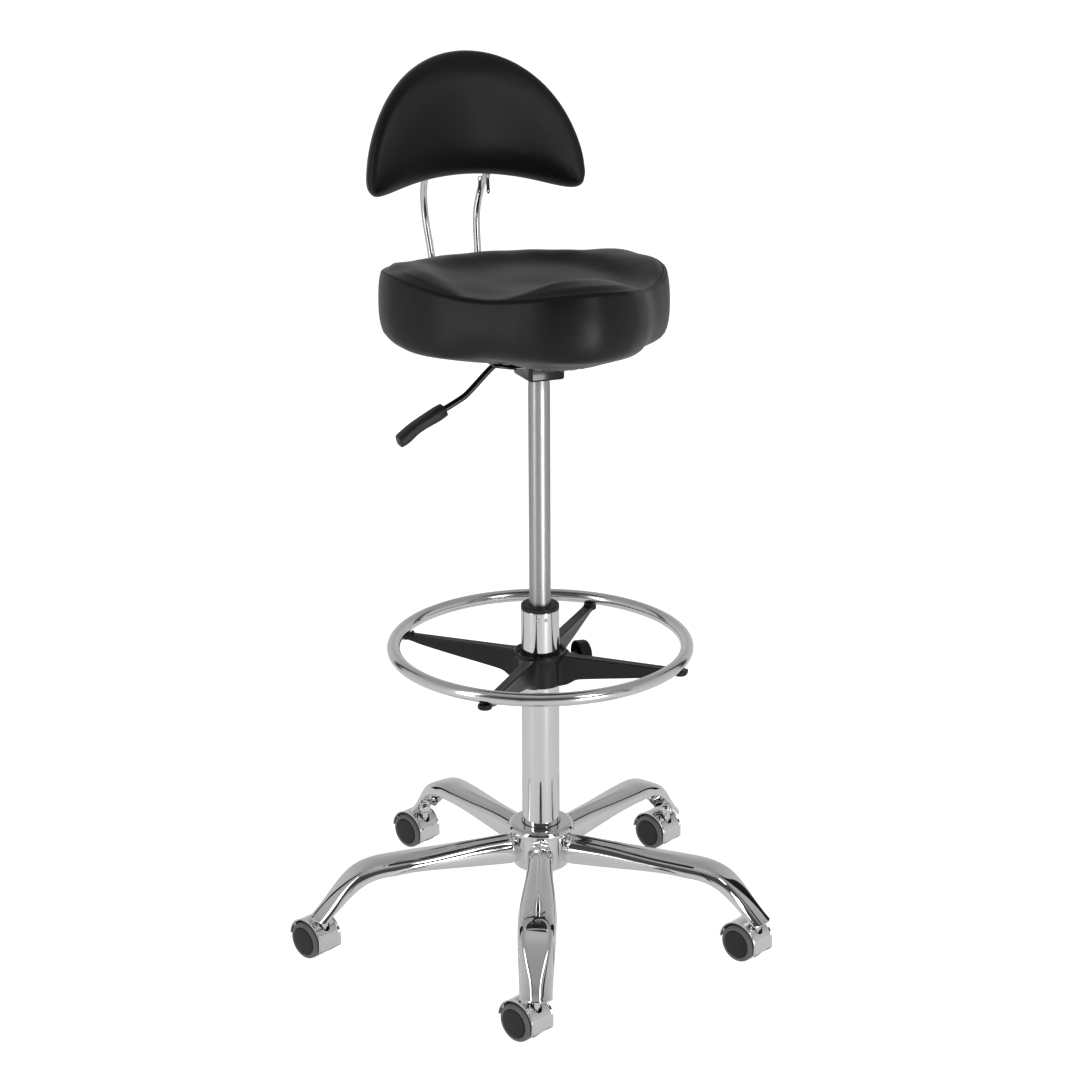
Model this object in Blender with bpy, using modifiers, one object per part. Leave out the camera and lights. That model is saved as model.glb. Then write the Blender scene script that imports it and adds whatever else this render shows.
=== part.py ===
"""Rolling stylist stool: five-leg chromed base on twin-wheel casters, gas lift,
height-adjustable foot ring, contoured seat and a wrapped half-moon backrest.

Metres, +Z up, the sitter faces -Y. Everything is laid out from the column axis
and hangs from one empty, which puts the footprint's centre at the world origin.
Lengths in the constants are in millimetres and are scaled by MM.
"""
import math

import bmesh
import bpy
from mathutils import Matrix, Vector

MM = 0.001

# ---------------------------------------------------------------- dimensions
AXIS_AT = (26.5, -25.5)      # column axis, seen from the footprint's centre

COLUMN_R, COLUMN_WALL = 25.0, 2.0
COLUMN_BOTTOM, COLUMN_TOP = 90.0, 460.0
CYLINDER_R = 14.0
CYLINDER_BOTTOM, CYLINDER_TOP = 390.0, 781.0
ROD_R = 5.0
STROKE = 260.0

HUB_R, HUB_BOTTOM, HUB_TOP = 38.0, 97.0, 157.0
FLANGE_R = 44.5

LEG_COUNT = 5
LEG_FIRST_ANGLE = -113.9     # degrees, the leg nearest the sitter's right foot
LEG_WALL = 2.4
STEM_AT = 300.0              # caster stem's distance from the column axis
SOCKET_R = 9.0

WHEEL_R, TREAD_INNER = 25.0, 20.6
WHEEL_IN, WHEEL_OUT = 7.0, 22.5   # wheel faces, from the caster's middle
TRAIL = 17.0                 # axle behind the stem
CASTER_HEADING = 24.5        # degrees, direction of the axles as parked
HOOD_R, HOOD_WALL, HOOD_HALF = 29.5, 1.6, 19.0
AXLE_R = 3.9

RING_R, RING_TUBE_R, RING_Z = 191.5, 8.5, 409.4
SPIDER_BOTTOM, SPIDER_TOP = 357.0, 402.0
ARM_FIRST_ANGLE = 46.5
ARM_TOP = 400.3
KNOB_ANGLE, KNOB_Z = 1.5, 387.0

BOX_X, BOX_Y = 48.0, 57.0    # lift mechanism's box
BOX_BOTTOM, PLATE_BOTTOM, PLATE_TOP = 770.0, 797.0, 800.0
LEVER_Z, LEVER_R = 790.0, 4.0

BOARD_BOTTOM, BOARD_TOP = 800.3, 811.3
SEAT_BOTTOM = 802.0
SEAT_CENTRE_Y = 5.0

PAD_Y, PAD_Z = 246.0, 990.0  # middle of the backrest's thickness, lower edge
PAD_HALF_W, PAD_WRAP = 148.0, 39.0
PAD_TILT = math.radians(1.0)
BACK_ROD_R = 4.8

# ------------------------------------------------------------------- set-up
for old in list(bpy.data.objects):
    bpy.data.objects.remove(old, do_unlink=True)

scene = bpy.context.scene
stool = bpy.data.collections.new("rolling_stylist_stool")
scene.collection.children.link(stool)
cutters = bpy.data.collections.new("cutters")
scene.collection.children.link(cutters)


def material(name, colour, roughness, metallic):
    m = bpy.data.materials.new(name)
    m.use_nodes = True
    shader = m.node_tree.nodes["Principled BSDF"]
    shader.inputs["Base Color"].default_value = (*colour, 1.0)
    shader.inputs["Roughness"].default_value = roughness
    shader.inputs["Metallic"].default_value = metallic
    m.diffuse_color = (*colour, 1.0)
    return m


LOOKS = {
    "chrome": ((0.78, 0.78, 0.79), 0.06, 1.0),
    "satin_steel": ((0.60, 0.60, 0.60), 0.28, 1.0),
    "zinc_steel": ((0.50, 0.50, 0.48), 0.40, 1.0),
    "black_steel": ((0.012, 0.012, 0.013), 0.22, 0.0),
    "black_plastic": ((0.02, 0.02, 0.021), 0.38, 0.0),
    "grey_plastic": ((0.055, 0.055, 0.058), 0.50, 0.0),
    "grey_tyre": ((0.17, 0.17, 0.17), 0.55, 0.0),
    "black_leather": ((0.012, 0.012, 0.012), 0.40, 0.0),
    "plywood": ((0.45, 0.30, 0.17), 0.70, 0.0),
}


def empty(name, at=(0, 0, 0), turn=0.0, parent=None):
    e = bpy.data.objects.new(name, None)
    e.empty_display_size = 0.02
    e.location = Vector(at) * MM
    e.rotation_euler = (0, 0, math.radians(turn))
    e.parent = parent
    stool.objects.link(e)
    return e


def keep(obj, look, parent):
    """Put a finished object in the stool, with a material of its own."""
    obj.data.materials.clear()
    obj.data.materials.append(material(obj.name, *LOOKS[look]))
    obj.parent = parent
    if obj.name not in stool.objects:
        stool.objects.link(obj)
    return obj


def new_object(name, mesh, home=None):
    obj = bpy.data.objects.new(name, mesh)
    (home or scene.collection).objects.link(obj)
    return obj


def from_bmesh(name, bm, home=None):
    bmesh.ops.recalc_face_normals(bm, faces=bm.faces)
    mesh = bpy.data.meshes.new(name)
    bm.to_mesh(mesh)
    bm.free()
    return new_object(name, mesh, home)


def smooth(mesh, degrees=35):
    mesh.shade_smooth()
    mesh.set_sharp_from_angle(angle=math.radians(degrees))


def turned(name, profile, steps, closed=False):
    """A profile of (radius, height), outer side running down, about local Z."""
    mesh = bpy.data.meshes.new(name)
    count = len(profile)
    edges = [(i, i + 1) for i in range(count - 1)]
    if closed:
        edges.append((count - 1, 0))
    mesh.from_pydata([(r * MM, 0, z * MM) for r, z in profile], edges, [])
    obj = new_object(name, mesh)
    screw = obj.modifiers.new("Turn", "SCREW")
    screw.steps = screw.render_steps = steps
    screw.use_merge_vertices = True
    screw.merge_threshold = 0.00001
    screw.use_smooth_shade = True
    return obj


def cylinder(name, radius, low, high, sides=24, home=None):
    """A plain cylinder about local Z."""
    bm = bmesh.new()
    bmesh.ops.create_cone(
        bm, cap_ends=True, segments=sides, radius1=radius * MM, radius2=radius * MM,
        depth=(high - low) * MM,
        matrix=Matrix.Translation((0, 0, (high + low) / 2 * MM)),
    )
    return from_bmesh(name, bm, home)


def block(name, low, high, home=None):
    bm = bmesh.new()
    size = [(b - a) * MM for a, b in zip(low, high)]
    middle = [(a + b) / 2 * MM for a, b in zip(low, high)]
    bmesh.ops.create_cube(bm, size=1.0)
    bmesh.ops.scale(bm, vec=size, verts=bm.verts)
    bmesh.ops.translate(bm, vec=middle, verts=bm.verts)
    return from_bmesh(name, bm, home)


def loft(name, rings, home=None):
    """A closed skin through rings of points, with a flat face over each end."""
    bm = bmesh.new()
    rows = [[bm.verts.new(Vector(p) * MM) for p in ring] for ring in rings]
    n = len(rows[0])
    for a, b in zip(rows, rows[1:]):
        for i in range(n):
            j = (i + 1) % n
            bm.faces.new((a[i], a[j], b[j], b[i]))
    bm.faces.new(list(reversed(rows[0])))
    bm.faces.new(rows[-1])
    return from_bmesh(name, bm, home)


def plate(name, outline, low, high, home=None):
    """A flat outline of (x, y) pushed up from low to high."""
    bm = bmesh.new()
    face = bm.faces.new([bm.verts.new((x * MM, y * MM, low * MM)) for x, y in outline])
    top = bmesh.ops.extrude_face_region(bm, geom=[face])["geom"]
    bmesh.ops.translate(
        bm, vec=(0, 0, (high - low) * MM),
        verts=[v for v in top if isinstance(v, bmesh.types.BMVert)],
    )
    return from_bmesh(name, bm, home)


def rod(name, points, radius):
    """A round bar along a smooth run of points, its caps welded."""
    data = bpy.data.curves.new(name, "CURVE")
    data.dimensions = "3D"
    data.bevel_depth = radius * MM
    data.bevel_resolution = 2
    data.use_fill_caps = True
    data.render_resolution_u = 0
    line = data.splines.new("POLY")
    line.points.add(len(points) - 1)
    for slot, p in zip(line.points, points):
        slot.co = (*(Vector(p) * MM), 1.0)
    curve = new_object(name + "_curve", data)
    mesh = evaluated_mesh(curve)
    bm = bmesh.new()
    bm.from_mesh(mesh)
    bmesh.ops.remove_doubles(bm, verts=bm.verts, dist=0.000005)
    bmesh.ops.recalc_face_normals(bm, faces=bm.faces)
    bm.to_mesh(mesh)
    bm.free()
    bpy.data.objects.remove(curve, do_unlink=True)
    mesh.name = name
    smooth(mesh, 50)
    return new_object(name, mesh)


def smooth_run(points, per_span=6):
    """Points on a Catmull-Rom curve through the given ones."""
    pts = [Vector(p) for p in points]
    pts = [pts[0] * 2 - pts[1]] + pts + [pts[-1] * 2 - pts[-2]]
    run = []
    for a, b, c, d in zip(pts, pts[1:], pts[2:], pts[3:]):
        for k in range(per_span):
            t = k / per_span
            run.append(
                0.5 * ((2 * b) + (c - a) * t + (2 * a - 5 * b + 4 * c - d) * t * t
                       + (3 * b - a - 3 * c + d) * t ** 3)
            )
    run.append(pts[-2])
    return run


def evaluated_mesh(obj):
    bpy.context.view_layer.update()
    graph = bpy.context.evaluated_depsgraph_get()
    return bpy.data.meshes.new_from_object(obj.evaluated_get(graph))


def cut(obj, *tools, how="DIFFERENCE"):
    """Cut or join with other objects, settle the result, and drop the tools."""
    for tool in tools:
        tool.hide_render = True
        tool.display_type = "WIRE"
        step = obj.modifiers.new(how.title(), "BOOLEAN")
        step.operation = how
        step.object = tool
        step.solver = "EXACT"
    mesh = evaluated_mesh(obj)
    obj.modifiers.clear()
    old = obj.data
    obj.data = mesh
    mesh.name = obj.name
    bpy.data.meshes.remove(old)
    for tool in tools:
        bpy.data.objects.remove(tool, do_unlink=True)
    smooth(obj.data)
    return obj


def moved(obj, at=(0, 0, 0), turn=0.0, about="Z"):
    """Move an object's own points, so that its origin stays where it is."""
    obj.data.transform(
        Matrix.Translation(Vector(at) * MM) @ Matrix.Rotation(math.radians(turn), 4, about)
    )
    return obj


# --------------------------------------------------- one empty for each body
footprint = empty("stool")
base = empty("base_frame", (*AXIS_AT, 0), 0, footprint)
lift = empty("lift_rod_axis", (0, 0, COLUMN_BOTTOM), 0, base)
seat_axis = empty("seat_axis", (0, 0, BOX_BOTTOM - COLUMN_BOTTOM), 0, lift)
ring_axis = empty("foot_ring_axis", (0, 0, RING_Z), 0, base)


def under(parent_height, obj):
    """Shift points modelled from the floor to the parent's height."""
    return moved(obj, (0, 0, -parent_height))


# -------------------------------------------------------------- column, base
hub = turned("base_hub", [
    (26.6, HUB_TOP), (41.5, HUB_TOP), (FLANGE_R, 153), (FLANGE_R, 146), (HUB_R, 146),
    (HUB_R, 99), (36, HUB_BOTTOM), (25.5, HUB_BOTTOM), (25.5, 153), (26.6, 153),
], 30, closed=True)
keep(hub, "chrome", base)

tube = turned("column_tube", [
    (23, COLUMN_TOP), (COLUMN_R, COLUMN_TOP), (COLUMN_R, COLUMN_BOTTOM), (23, COLUMN_BOTTOM),
    (23, 100), (5.8, 100), (5.8, 104), (23, 104),
], 24, closed=True)
keep(tube, "chrome", base)

bush = turned("column_bush", [
    (14.5, 466), (24, 466), (COLUMN_R, 465), (COLUMN_R, 460.3), (22.6, 460.3),
    (22.6, 432), (14.5, 432),
], 24, closed=True)
keep(bush, "black_plastic", base)

bearing = turned("thrust_bearing", [(5.8, 110), (14, 110), (14, 104.3), (5.8, 104.3)], 20, True)
keep(bearing, "zinc_steel", base)

piston = turned("piston_rod", [
    (0, 414), (11.2, 414), (11.2, 404), (ROD_R, 404), (ROD_R, 112.3), (12, 112.3),
    (12, 110.3), (ROD_R, 110.3), (ROD_R, 94), (0, 94),
], 16)
keep(under(COLUMN_BOTTOM, piston), "satin_steel", lift)

clip = turned("rod_clip", [(5.4, 99.7), (9.5, 99.7), (9.5, 97.7), (5.4, 97.7)], 16, True)
keep(under(COLUMN_BOTTOM, clip), "zinc_steel", lift)

# ------------------------------------------------------------------ the legs
# Each station: top (radius, height), bottom (radius, height), width, and how
# far the section has opened from an oval tube (0) into an arched channel (1).
LEG_STATIONS = [
    ((28, 144), (28, 103), 36, 0.0),
    ((95, 141), (95, 106), 36, 0.0),
    ((150, 137), (150, 111), 43, 0.2),
    ((198, 134), (200, 115), 49, 0.6),
    ((232, 131), (228, 114), 49, 1.0),
    ((256, 121), (248, 107), 48, 1.0),
    ((277, 104), (266, 93), 46, 1.0),
    ((297, 83), (284, 74), 43, 1.0),
    ((316.5, 60.5), (301, 56.8), 41, 1.0),
]
TUBE_SECTION = [(0, 1), (.24, .97), (.42, .80), (.50, .50), (.43, .18), (.24, .02)]
CHANNEL_SECTION = [(0, 1), (.25, .96), (.43, .80), (.50, .50), (.50, .10), (.44, 0)]


def leg_ring(top, bottom, width, opened, wall=0.0, floor=0.0):
    half = [
        ((1 - opened) * a[0] + opened * b[0], (1 - opened) * a[1] + opened * b[1])
        for a, b in zip(TUBE_SECTION, CHANNEL_SECTION)
    ]
    t, b = Vector((top[0], 0, top[1])), Vector((bottom[0], 0, bottom[1]))
    depth = (t - b).length
    ring = []
    for side in (1, -1):
        run = half if side > 0 else list(reversed(half))[:-1]
        for a, h in run:
            y = side * a * width
            if wall:
                y *= (width - 2 * wall) / width
                h = 1 - wall / depth - (1 - h) * 1.0
            p = b + (t - b) * h
            ring.append((p.x, y, p.z))
    if floor:
        # the cavity runs out through the underside
        low = [i for i, (a, h) in enumerate(half) if h <= 0.25]
        for i in low + [len(ring) - j for j in low if j]:
            x, y, z = ring[i % len(ring)]
            ring[i % len(ring)] = (x - 0.35 * floor, y, z - floor)
    return ring


leg = loft("leg", [leg_ring(*s) for s in LEG_STATIONS])
cavity_stations = LEG_STATIONS[3:]
end_top, end_bottom, end_w, _ = LEG_STATIONS[-1]
cavity = loft("cavity", [leg_ring(t, b, w, 1.0, LEG_WALL, 22) for t, b, w, _ in cavity_stations]
              + [leg_ring((322, 50), (303, 45), end_w, 1.0, LEG_WALL, 22)], cutters)
post = moved(cylinder("post", SOCKET_R, 30, 110, 14, cutters), (STEM_AT, 0, 0))
cut(cavity, post)
stem_hole = moved(cylinder("stem_hole", 6.1, 30, 69, 12, cutters), (STEM_AT, 0, 0))
hub_space = cylinder("hub_space", HUB_R + 0.6, 60, 180, 24, cutters)
cut(leg, cavity, hub_space, stem_hole)

leg_mesh = leg.data
bpy.data.objects.remove(leg, do_unlink=True)
for i in range(LEG_COUNT):
    name = f"base_leg_{i + 1}"
    one = new_object(name, leg_mesh.copy())
    one.data.name = name
    one.rotation_euler = (0, 0, math.radians(LEG_FIRST_ANGLE + i * 360 / LEG_COUNT))
    keep(one, "chrome", base)

# --------------------------------------------------------------- the casters
# Caster frame: X along the axle, Y the way the wheels trail, Z up, origin at
# the stem's axis on the floor.


def hood_outline(outer, inner, far_angle=177.0, steps=8):
    """Arc over the wheels, with a straight skirt down the stem's side."""
    first = 14.0
    def arc(r):
        return [
            (TRAIL - r * math.cos(math.radians(first + (far_angle - first) * k / steps)),
             WHEEL_R + r * math.sin(math.radians(first + (far_angle - first) * k / steps)))
            for k in range(steps + 1)
        ]
    low = WHEEL_R - 9.7
    out, inn = arc(outer), arc(inner)
    return [(out[0][0], low)] + out + list(reversed(inn)) + [(inn[0][0], low)]


def hood_mesh():
    shell = plate("hood_shell", hood_outline(HOOD_R, HOOD_R - HOOD_WALL), -HOOD_HALF, HOOD_HALF)
    r = HOOD_R - HOOD_WALL / 2
    web_outline = [(TRAIL - 9, WHEEL_R - 11), (TRAIL + 9, WHEEL_R - 11)] + [
        (TRAIL + r * math.cos(math.radians(a)), WHEEL_R + r * math.sin(math.radians(a)))
        for a in range(12, 181, 21)
    ]
    web = plate("hood_web", web_outline, -5.6, 5.6, cutters)
    cut(shell, web, how="UNION")
    # outline is drawn in (trail, height); stand it up across the axle
    shell.data.transform(Matrix(((0, 0, 1, 0), (1, 0, 0, 0), (0, 1, 0, 0), (0, 0, 0, 1))))
    stem = cylinder("stem_space", 4.3, 29, 80, 12, cutters)
    mouth = cylinder("stem_mouth", 7.4, 45.2, 80, 12, cutters)
    axle = moved(cylinder("axle_space", AXLE_R + 0.4, -40, 40, 12, cutters), turn=90, about="Y")
    moved(axle, (0, TRAIL, WHEEL_R))
    cut(shell, stem, mouth, axle)
    mesh = shell.data
    bpy.data.objects.remove(shell, do_unlink=True)
    return mesh


HOOD_MESH = hood_mesh()


def caster(number, angle):
    at = (STEM_AT * math.cos(math.radians(angle)), STEM_AT * math.sin(math.radians(angle)), 0)
    swivel = empty(f"caster_axis_{number}", at, CASTER_HEADING, base)
    roll = empty(f"wheel_axis_{number}", (0, TRAIL, WHEEL_R), 0, swivel)

    stem = turned(f"caster_stem_{number}", [
        (0, 68.5), (5.7, 68.5), (5.7, 56.5), (8.4, 56.5), (8.4, 55), (5.7, 55),
        (5.7, 46), (3.9, 46), (3.9, 30), (0, 30),
    ], 16)
    keep(stem, "chrome", swivel)

    hood = new_object(f"caster_hood_{number}", HOOD_MESH.copy())
    hood.data.name = hood.name
    keep(hood, "chrome", swivel)

    axle = moved(cylinder(f"caster_axle_{number}", AXLE_R, -17, 17, 12), turn=90, about="Y")
    smooth(axle.data)
    keep(axle, "zinc_steel", roll)

    for side, word in ((-1, "left"), (1, "right")):
        core = turned(f"caster_{number}_wheel_{word}", [
            (0, WHEEL_OUT), (18, WHEEL_OUT), (20.2, 20.4), (20.2, WHEEL_IN),
            (4.4, WHEEL_IN), (4.4, 17.6), (0, 17.6),
        ], 16)
        core.rotation_euler = (0, side * math.pi / 2, 0)
        keep(core, "grey_plastic", roll)
        tyre = turned(f"caster_{number}_tyre_{word}", [
            (TREAD_INNER, 20.6), (23.0, 20.6), (WHEEL_R, 18.4), (WHEEL_R, WHEEL_IN + 0.4),
            (TREAD_INNER, WHEEL_IN + 0.4),
        ], 16, closed=True)
        tyre.rotation_euler = (0, side * math.pi / 2, 0)
        keep(tyre, "grey_tyre", roll)


for i in range(LEG_COUNT):
    caster(i + 1, LEG_FIRST_ANGLE + i * 360 / LEG_COUNT)

# ----------------------------------------------------------------- foot ring
bpy.ops.mesh.primitive_torus_add(
    major_segments=36, minor_segments=8, major_radius=RING_R * MM, minor_radius=RING_TUBE_R * MM
)
ring = bpy.context.object
for home in list(ring.users_collection):
    home.objects.unlink(ring)
ring.name = ring.data.name = "foot_ring"
ring.data.shade_smooth()
keep(ring, "chrome", ring_axis)

spider = turned("foot_ring_spider", [
    (25.6, 398), (30.5, 399), (31.5, SPIDER_TOP), (35, SPIDER_TOP), (35, 396), (30, 390),
    (29.5, SPIDER_BOTTOM), (25.6, SPIDER_BOTTOM),
], 24, closed=True)


def arm_ring(x, low, half_top, half_low):
    return [(x, -half_low, low), (x, half_low, low), (x, half_top, ARM_TOP), (x, -half_top, ARM_TOP)]


for k in range(4):
    arm = loft("arm", [
        arm_ring(28, 361, 8.0, 6.5), arm_ring(47, 361, 7.5, 6.0), arm_ring(52, 368, 7.2, 5.6),
        arm_ring(184, 388, 6.0, 4.8), arm_ring(193, 389.5, 6.8, 5.4), arm_ring(200, 393, 5.4, 4.4),
    ], cutters)
    moved(arm, turn=ARM_FIRST_ANGLE + 90 * k)
    cut(spider, arm, how="UNION")
boss = moved(cylinder("boss", 9.0, 27, 40, 16, cutters), turn=90, about="Y")
moved(moved(boss, turn=KNOB_ANGLE), (0, 0, KNOB_Z))
cut(spider, boss, how="UNION")
screw_hole = moved(cylinder("screw_hole", 4.4, 10, 60, 16, cutters), turn=90, about="Y")
moved(moved(screw_hole, turn=KNOB_ANGLE), (0, 0, KNOB_Z))
cut(spider, screw_hole)
keep(under(RING_Z, spider), "black_plastic", ring_axis)

# A cup-shaped knob, open to the column, with its clamp screw; local Z points out.
knob_axis = empty("foot_ring_knob_axis", (0, 0, KNOB_Z - RING_Z), KNOB_ANGLE, ring_axis)
knob = turned("foot_ring_knob", [
    (0, 69), (13, 69), (17.2, 66), (18.3, 52), (15.8, 52), (14.6, 62),
    (7.5, 62), (7.0, 51), (4.0, 51), (4.0, 25.8), (0, 25.8),
], 20)
knob.rotation_euler = (0, math.pi / 2, 0)
keep(knob, "black_plastic", knob_axis)

# --------------------------------------------------------- gas lift, mechanism
cylinder_body = turned("gas_cylinder", [
    (0, 776), (3.4, 776), (3.4, CYLINDER_TOP), (12.4, CYLINDER_TOP), (13.1, 770),
    (CYLINDER_R, 757), (CYLINDER_R, CYLINDER_BOTTOM), (5.4, CYLINDER_BOTTOM), (5.4, 402),
    (11.8, 402), (11.8, 755), (0, 755),
], 24)
keep(under(BOX_BOTTOM, cylinder_body), "satin_steel", seat_axis)

button_axis = empty("valve_button_axis", (0, 0, 0), 0, seat_axis)
button = turned("valve_button", [(0, 785.2), (2.4, 785.2), (2.9, 784.7), (2.9, 779.6), (0, 779.6)], 16)
keep(under(BOX_BOTTOM, button), "zinc_steel", button_axis)

mechanism = block("seat_mechanism", (-BOX_X / 2, -BOX_Y / 2, BOX_BOTTOM), (BOX_X / 2, BOX_Y / 2, 797.5))
plate_outline = [(-75, -42), (-58, -60), (58, -60), (75, -42), (75, 42), (58, 60), (-58, 60), (-75, 42)]
cut(mechanism, plate("top_plate", plate_outline, PLATE_BOTTOM, PLATE_TOP, cutters), how="UNION")
cut(
    mechanism,
    block("pocket", (-21, -26, 779), (21, 26, 796.9), cutters),
    cylinder("taper", 14.4, 760, 785, 24, cutters),
    block("lever_slot", (-40, -5.2, 782.5), (-15, 5.2, 796.9), cutters),
    block("lever_notch", (-90, -7, 790), (-24.6, 7, 810), cutters),
)
keep(under(BOX_BOTTOM, mechanism), "black_steel", seat_axis)

# The lever turns about its slot in the box's side.
LEVER_PIVOT = (-22.8, 0, LEVER_Z)
lever_axis = empty("lever_axis", (LEVER_PIVOT[0], 0, LEVER_Z - BOX_BOTTOM), 0, seat_axis)
lever_run = smooth_run([
    (5, 0, 790), (-16, 0, 790), (-38, 0, 790.4), (-50, 0, 791.8), (-58, 0, 790.8), (-66, 0, 785.2),
    (-92, 0, 761.0), (-100, 0, 754.4), (-110, 0, 748.8), (-128, 0, 739.9), (-143, 0, 732.5),
], 2)
lever = rod("lever_rod", lever_run, LEVER_R)
moved(lever, tuple(-c for c in LEVER_PIVOT))
keep(lever, "black_steel", lever_axis)

grip_rings = []
for x, z, half_w, half_t, lean in (
    (-128, 739.9, 8.5, 7.0, 26), (-137, 735.4, 10.0, 7.6, 26), (-158, 725.2, 9.5, 7.0, 27),
    (-175, 716.0, 9.5, 7.4, 34), (-187, 706.4, 9.0, 7.0, 44),
):
    up = Vector((-math.sin(math.radians(lean)), 0, math.cos(math.radians(lean))))
    c = Vector((x, 0, z))
    grip_rings.append([
        c + up * half_t * b + Vector((0, half_w * a, 0))
        for a, b in ((-.7, 1), (.7, 1), (1, .6), (1, -.6), (.7, -1), (-.7, -1), (-1, -.6), (-1, .6))
    ])
grip = loft("lever_grip", grip_rings)
run_in = Vector((-143 + 128, 0, 732.5 - 739.9)).normalized()
bore_middle = Vector((-128, 0, 739.9))
bore = rod("grip_bore", [bore_middle - run_in * 16, bore_middle, Vector((-143, 0, 732.5)) + run_in * 1.0],
           LEVER_R + 0.8)
cut(grip, bore)
moved(grip, tuple(-c for c in LEVER_PIVOT))
keep(grip, "grey_plastic", lever_axis)

# ---------------------------------------------------------------------- seat
# Half outline, from the nose round to the back: (across, forward).
SEAT_HALF = [(0, 176), (62, 162), (100, 118), (128, 68), (170, 26), (186, -48), (160, -140), (70, -190), (0, -196)]


def seat_outline(grow=0.0):
    half = [(x, -v) for x, v in SEAT_HALF]
    whole = half + [(-x, y) for x, y in reversed(half[1:-1])]
    grown = []
    for x, y in whole:
        d = Vector((x, y - SEAT_CENTRE_Y))
        d = d.normalized() * (d.length + grow)
        grown.append((d.x, d.y + SEAT_CENTRE_Y))
    return grown


def rim_lift(x, y):
    """The rim rises at the nose and dips where the thighs pass over it."""
    a = math.atan2(abs(x), -y)
    nose = 16 * math.exp(-(a / 0.45) ** 2)
    dip = -9 * math.exp(-((a - 0.85) / 0.35) ** 2)
    side = 5 * math.exp(-((a - 1.75) / 0.5) ** 2)
    return nose + dip + side


seat_rings = []
for grow, z, follow in (
    (-110, 878, 0.2), (-52, 886, 0.7), (-14, 900, 1.0), (7, 888, 1.0), (9, 842, 0.0),
    (-2, 815, 0.0), (-32, 804.5, 0.0), (-95, SEAT_BOTTOM, 0.0),
):
    seat_rings.append([(x, y, z + follow * rim_lift(x, y)) for x, y in seat_outline(grow)])
# the nose is undercut: its lower edge sits higher and further back
for k, (back, up) in {4: (2, 6), 5: (16, 9), 6: (18, 3)}.items():
    seat_rings[k] = [
        (x, y + back * near, z + up * near)
        for x, y, z in seat_rings[k]
        for near in [max(0.0, min(1.0, (-y - 60) / 80))]
    ]


def cushion(name, rings, first_pole, last_pole, levels=1):
    """A soft closed form from a coarse cage, rounded by subdivision."""
    bm = bmesh.new()
    rows = [[bm.verts.new(Vector(p) * MM) for p in ring] for ring in rings]
    n = len(rows[0])
    for a, b in zip(rows, rows[1:]):
        for i in range(n):
            j = (i + 1) % n
            bm.faces.new((a[i], a[j], b[j], b[i]))
    for row, pole in ((rows[0], first_pole), (rows[-1], last_pole)):
        tip = bm.verts.new(Vector(pole) * MM)
        for i in range(n):
            bm.faces.new((row[i], row[(i + 1) % n], tip))
    obj = from_bmesh(name, bm)
    obj.data.shade_smooth()
    sub = obj.modifiers.new("Round", "SUBSURF")
    sub.levels = sub.render_levels = levels
    return obj


seat = cushion("seat_cushion", seat_rings, (0, SEAT_CENTRE_Y, 878), (0, SEAT_CENTRE_Y, SEAT_BOTTOM))
board_space = plate("board_space", seat_outline(-77.5), 780, BOARD_TOP + 0.4, cutters)
cut(seat, board_space)
keep(under(BOX_BOTTOM, seat), "black_leather", seat_axis)

board = plate("seat_board", seat_outline(-78), BOARD_BOTTOM, BOARD_TOP)
keep(under(BOX_BOTTOM, board), "plywood", seat_axis)

# ------------------------------------------------------------------ backrest


def on_pad(x, z, depth=0.0):
    """A point of the backrest's wrapped, leaning mid-surface, pushed rearwards."""
    y = PAD_Y + math.tan(PAD_TILT) * (z - PAD_Z) - PAD_WRAP * (x / PAD_HALF_W) ** 2 + depth
    return (x, y, z)


PAD_MIDDLE = (0.0, 1052.0)
PAD_HALF = [(0, 1155), (64, 1139), (115, 1096), (145, 1036), (154, 981), (138, 965), (84, 981), (0, 992)]


def pad_outline(grow=0.0):
    whole = PAD_HALF + [(-x, z) for x, z in reversed(PAD_HALF[1:-1])]
    grown = []
    for x, z in whole:
        d = Vector((x - PAD_MIDDLE[0], z - PAD_MIDDLE[1]))
        d = d.normalized() * (d.length + grow)
        grown.append((d.x + PAD_MIDDLE[0], d.y + PAD_MIDDLE[1]))
    return grown


pad_rings = []
for grow, depth in ((-48, -24), (-20, -22), (-3, -12), (2, 0), (-3, 12), (-20, 22), (-48, 24)):
    pad_rings.append([on_pad(x, z, depth) for x, z in pad_outline(grow)])
pad = cushion("back_cushion", pad_rings, on_pad(0, PAD_MIDDLE[1], -24), on_pad(0, PAD_MIDDLE[1], 24))


def wrapped_plate(name, grow, front, rear, low_z=None, home=None, columns=9):
    """A plate that follows the pad, between two depths."""
    rings = []
    edge = pad_outline(grow)
    half_w = max(x for x, _ in edge) * 0.999
    def span(x):
        """lowest and highest z of the outline at this x"""
        hits = []
        for (x0, z0), (x1, z1) in zip(edge, edge[1:] + edge[:1]):
            if (x0 - x) * (x1 - x) <= 0 and x0 != x1:
                hits.append(z0 + (z1 - z0) * (x - x0) / (x1 - x0))
        return min(hits), max(hits)
    for k in range(columns + 1):
        x = half_w * (2 * k / columns - 1)
        lo, hi = span(x)
        if low_z is not None:
            lo = low_z
        hi = max(hi, lo + 1)
        rings.append([on_pad(x, lo, front), on_pad(x, hi, front), on_pad(x, hi, rear), on_pad(x, lo, rear)])
    return loft(name, rings, home)


recess = wrapped_plate("back_recess", -29, 4.0, 60.0, home=cutters)
slot = block("rod_slot", (-62, PAD_Y + 4, 950), (62, PAD_Y + 80, 1030), cutters)
cut(pad, recess, slot)
keep(under(BOX_BOTTOM, pad), "black_leather", seat_axis)

back_board = wrapped_plate("back_board", -30.5, 4.6, 12.6)
keep(under(BOX_BOTTOM, back_board), "plywood", seat_axis)

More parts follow.
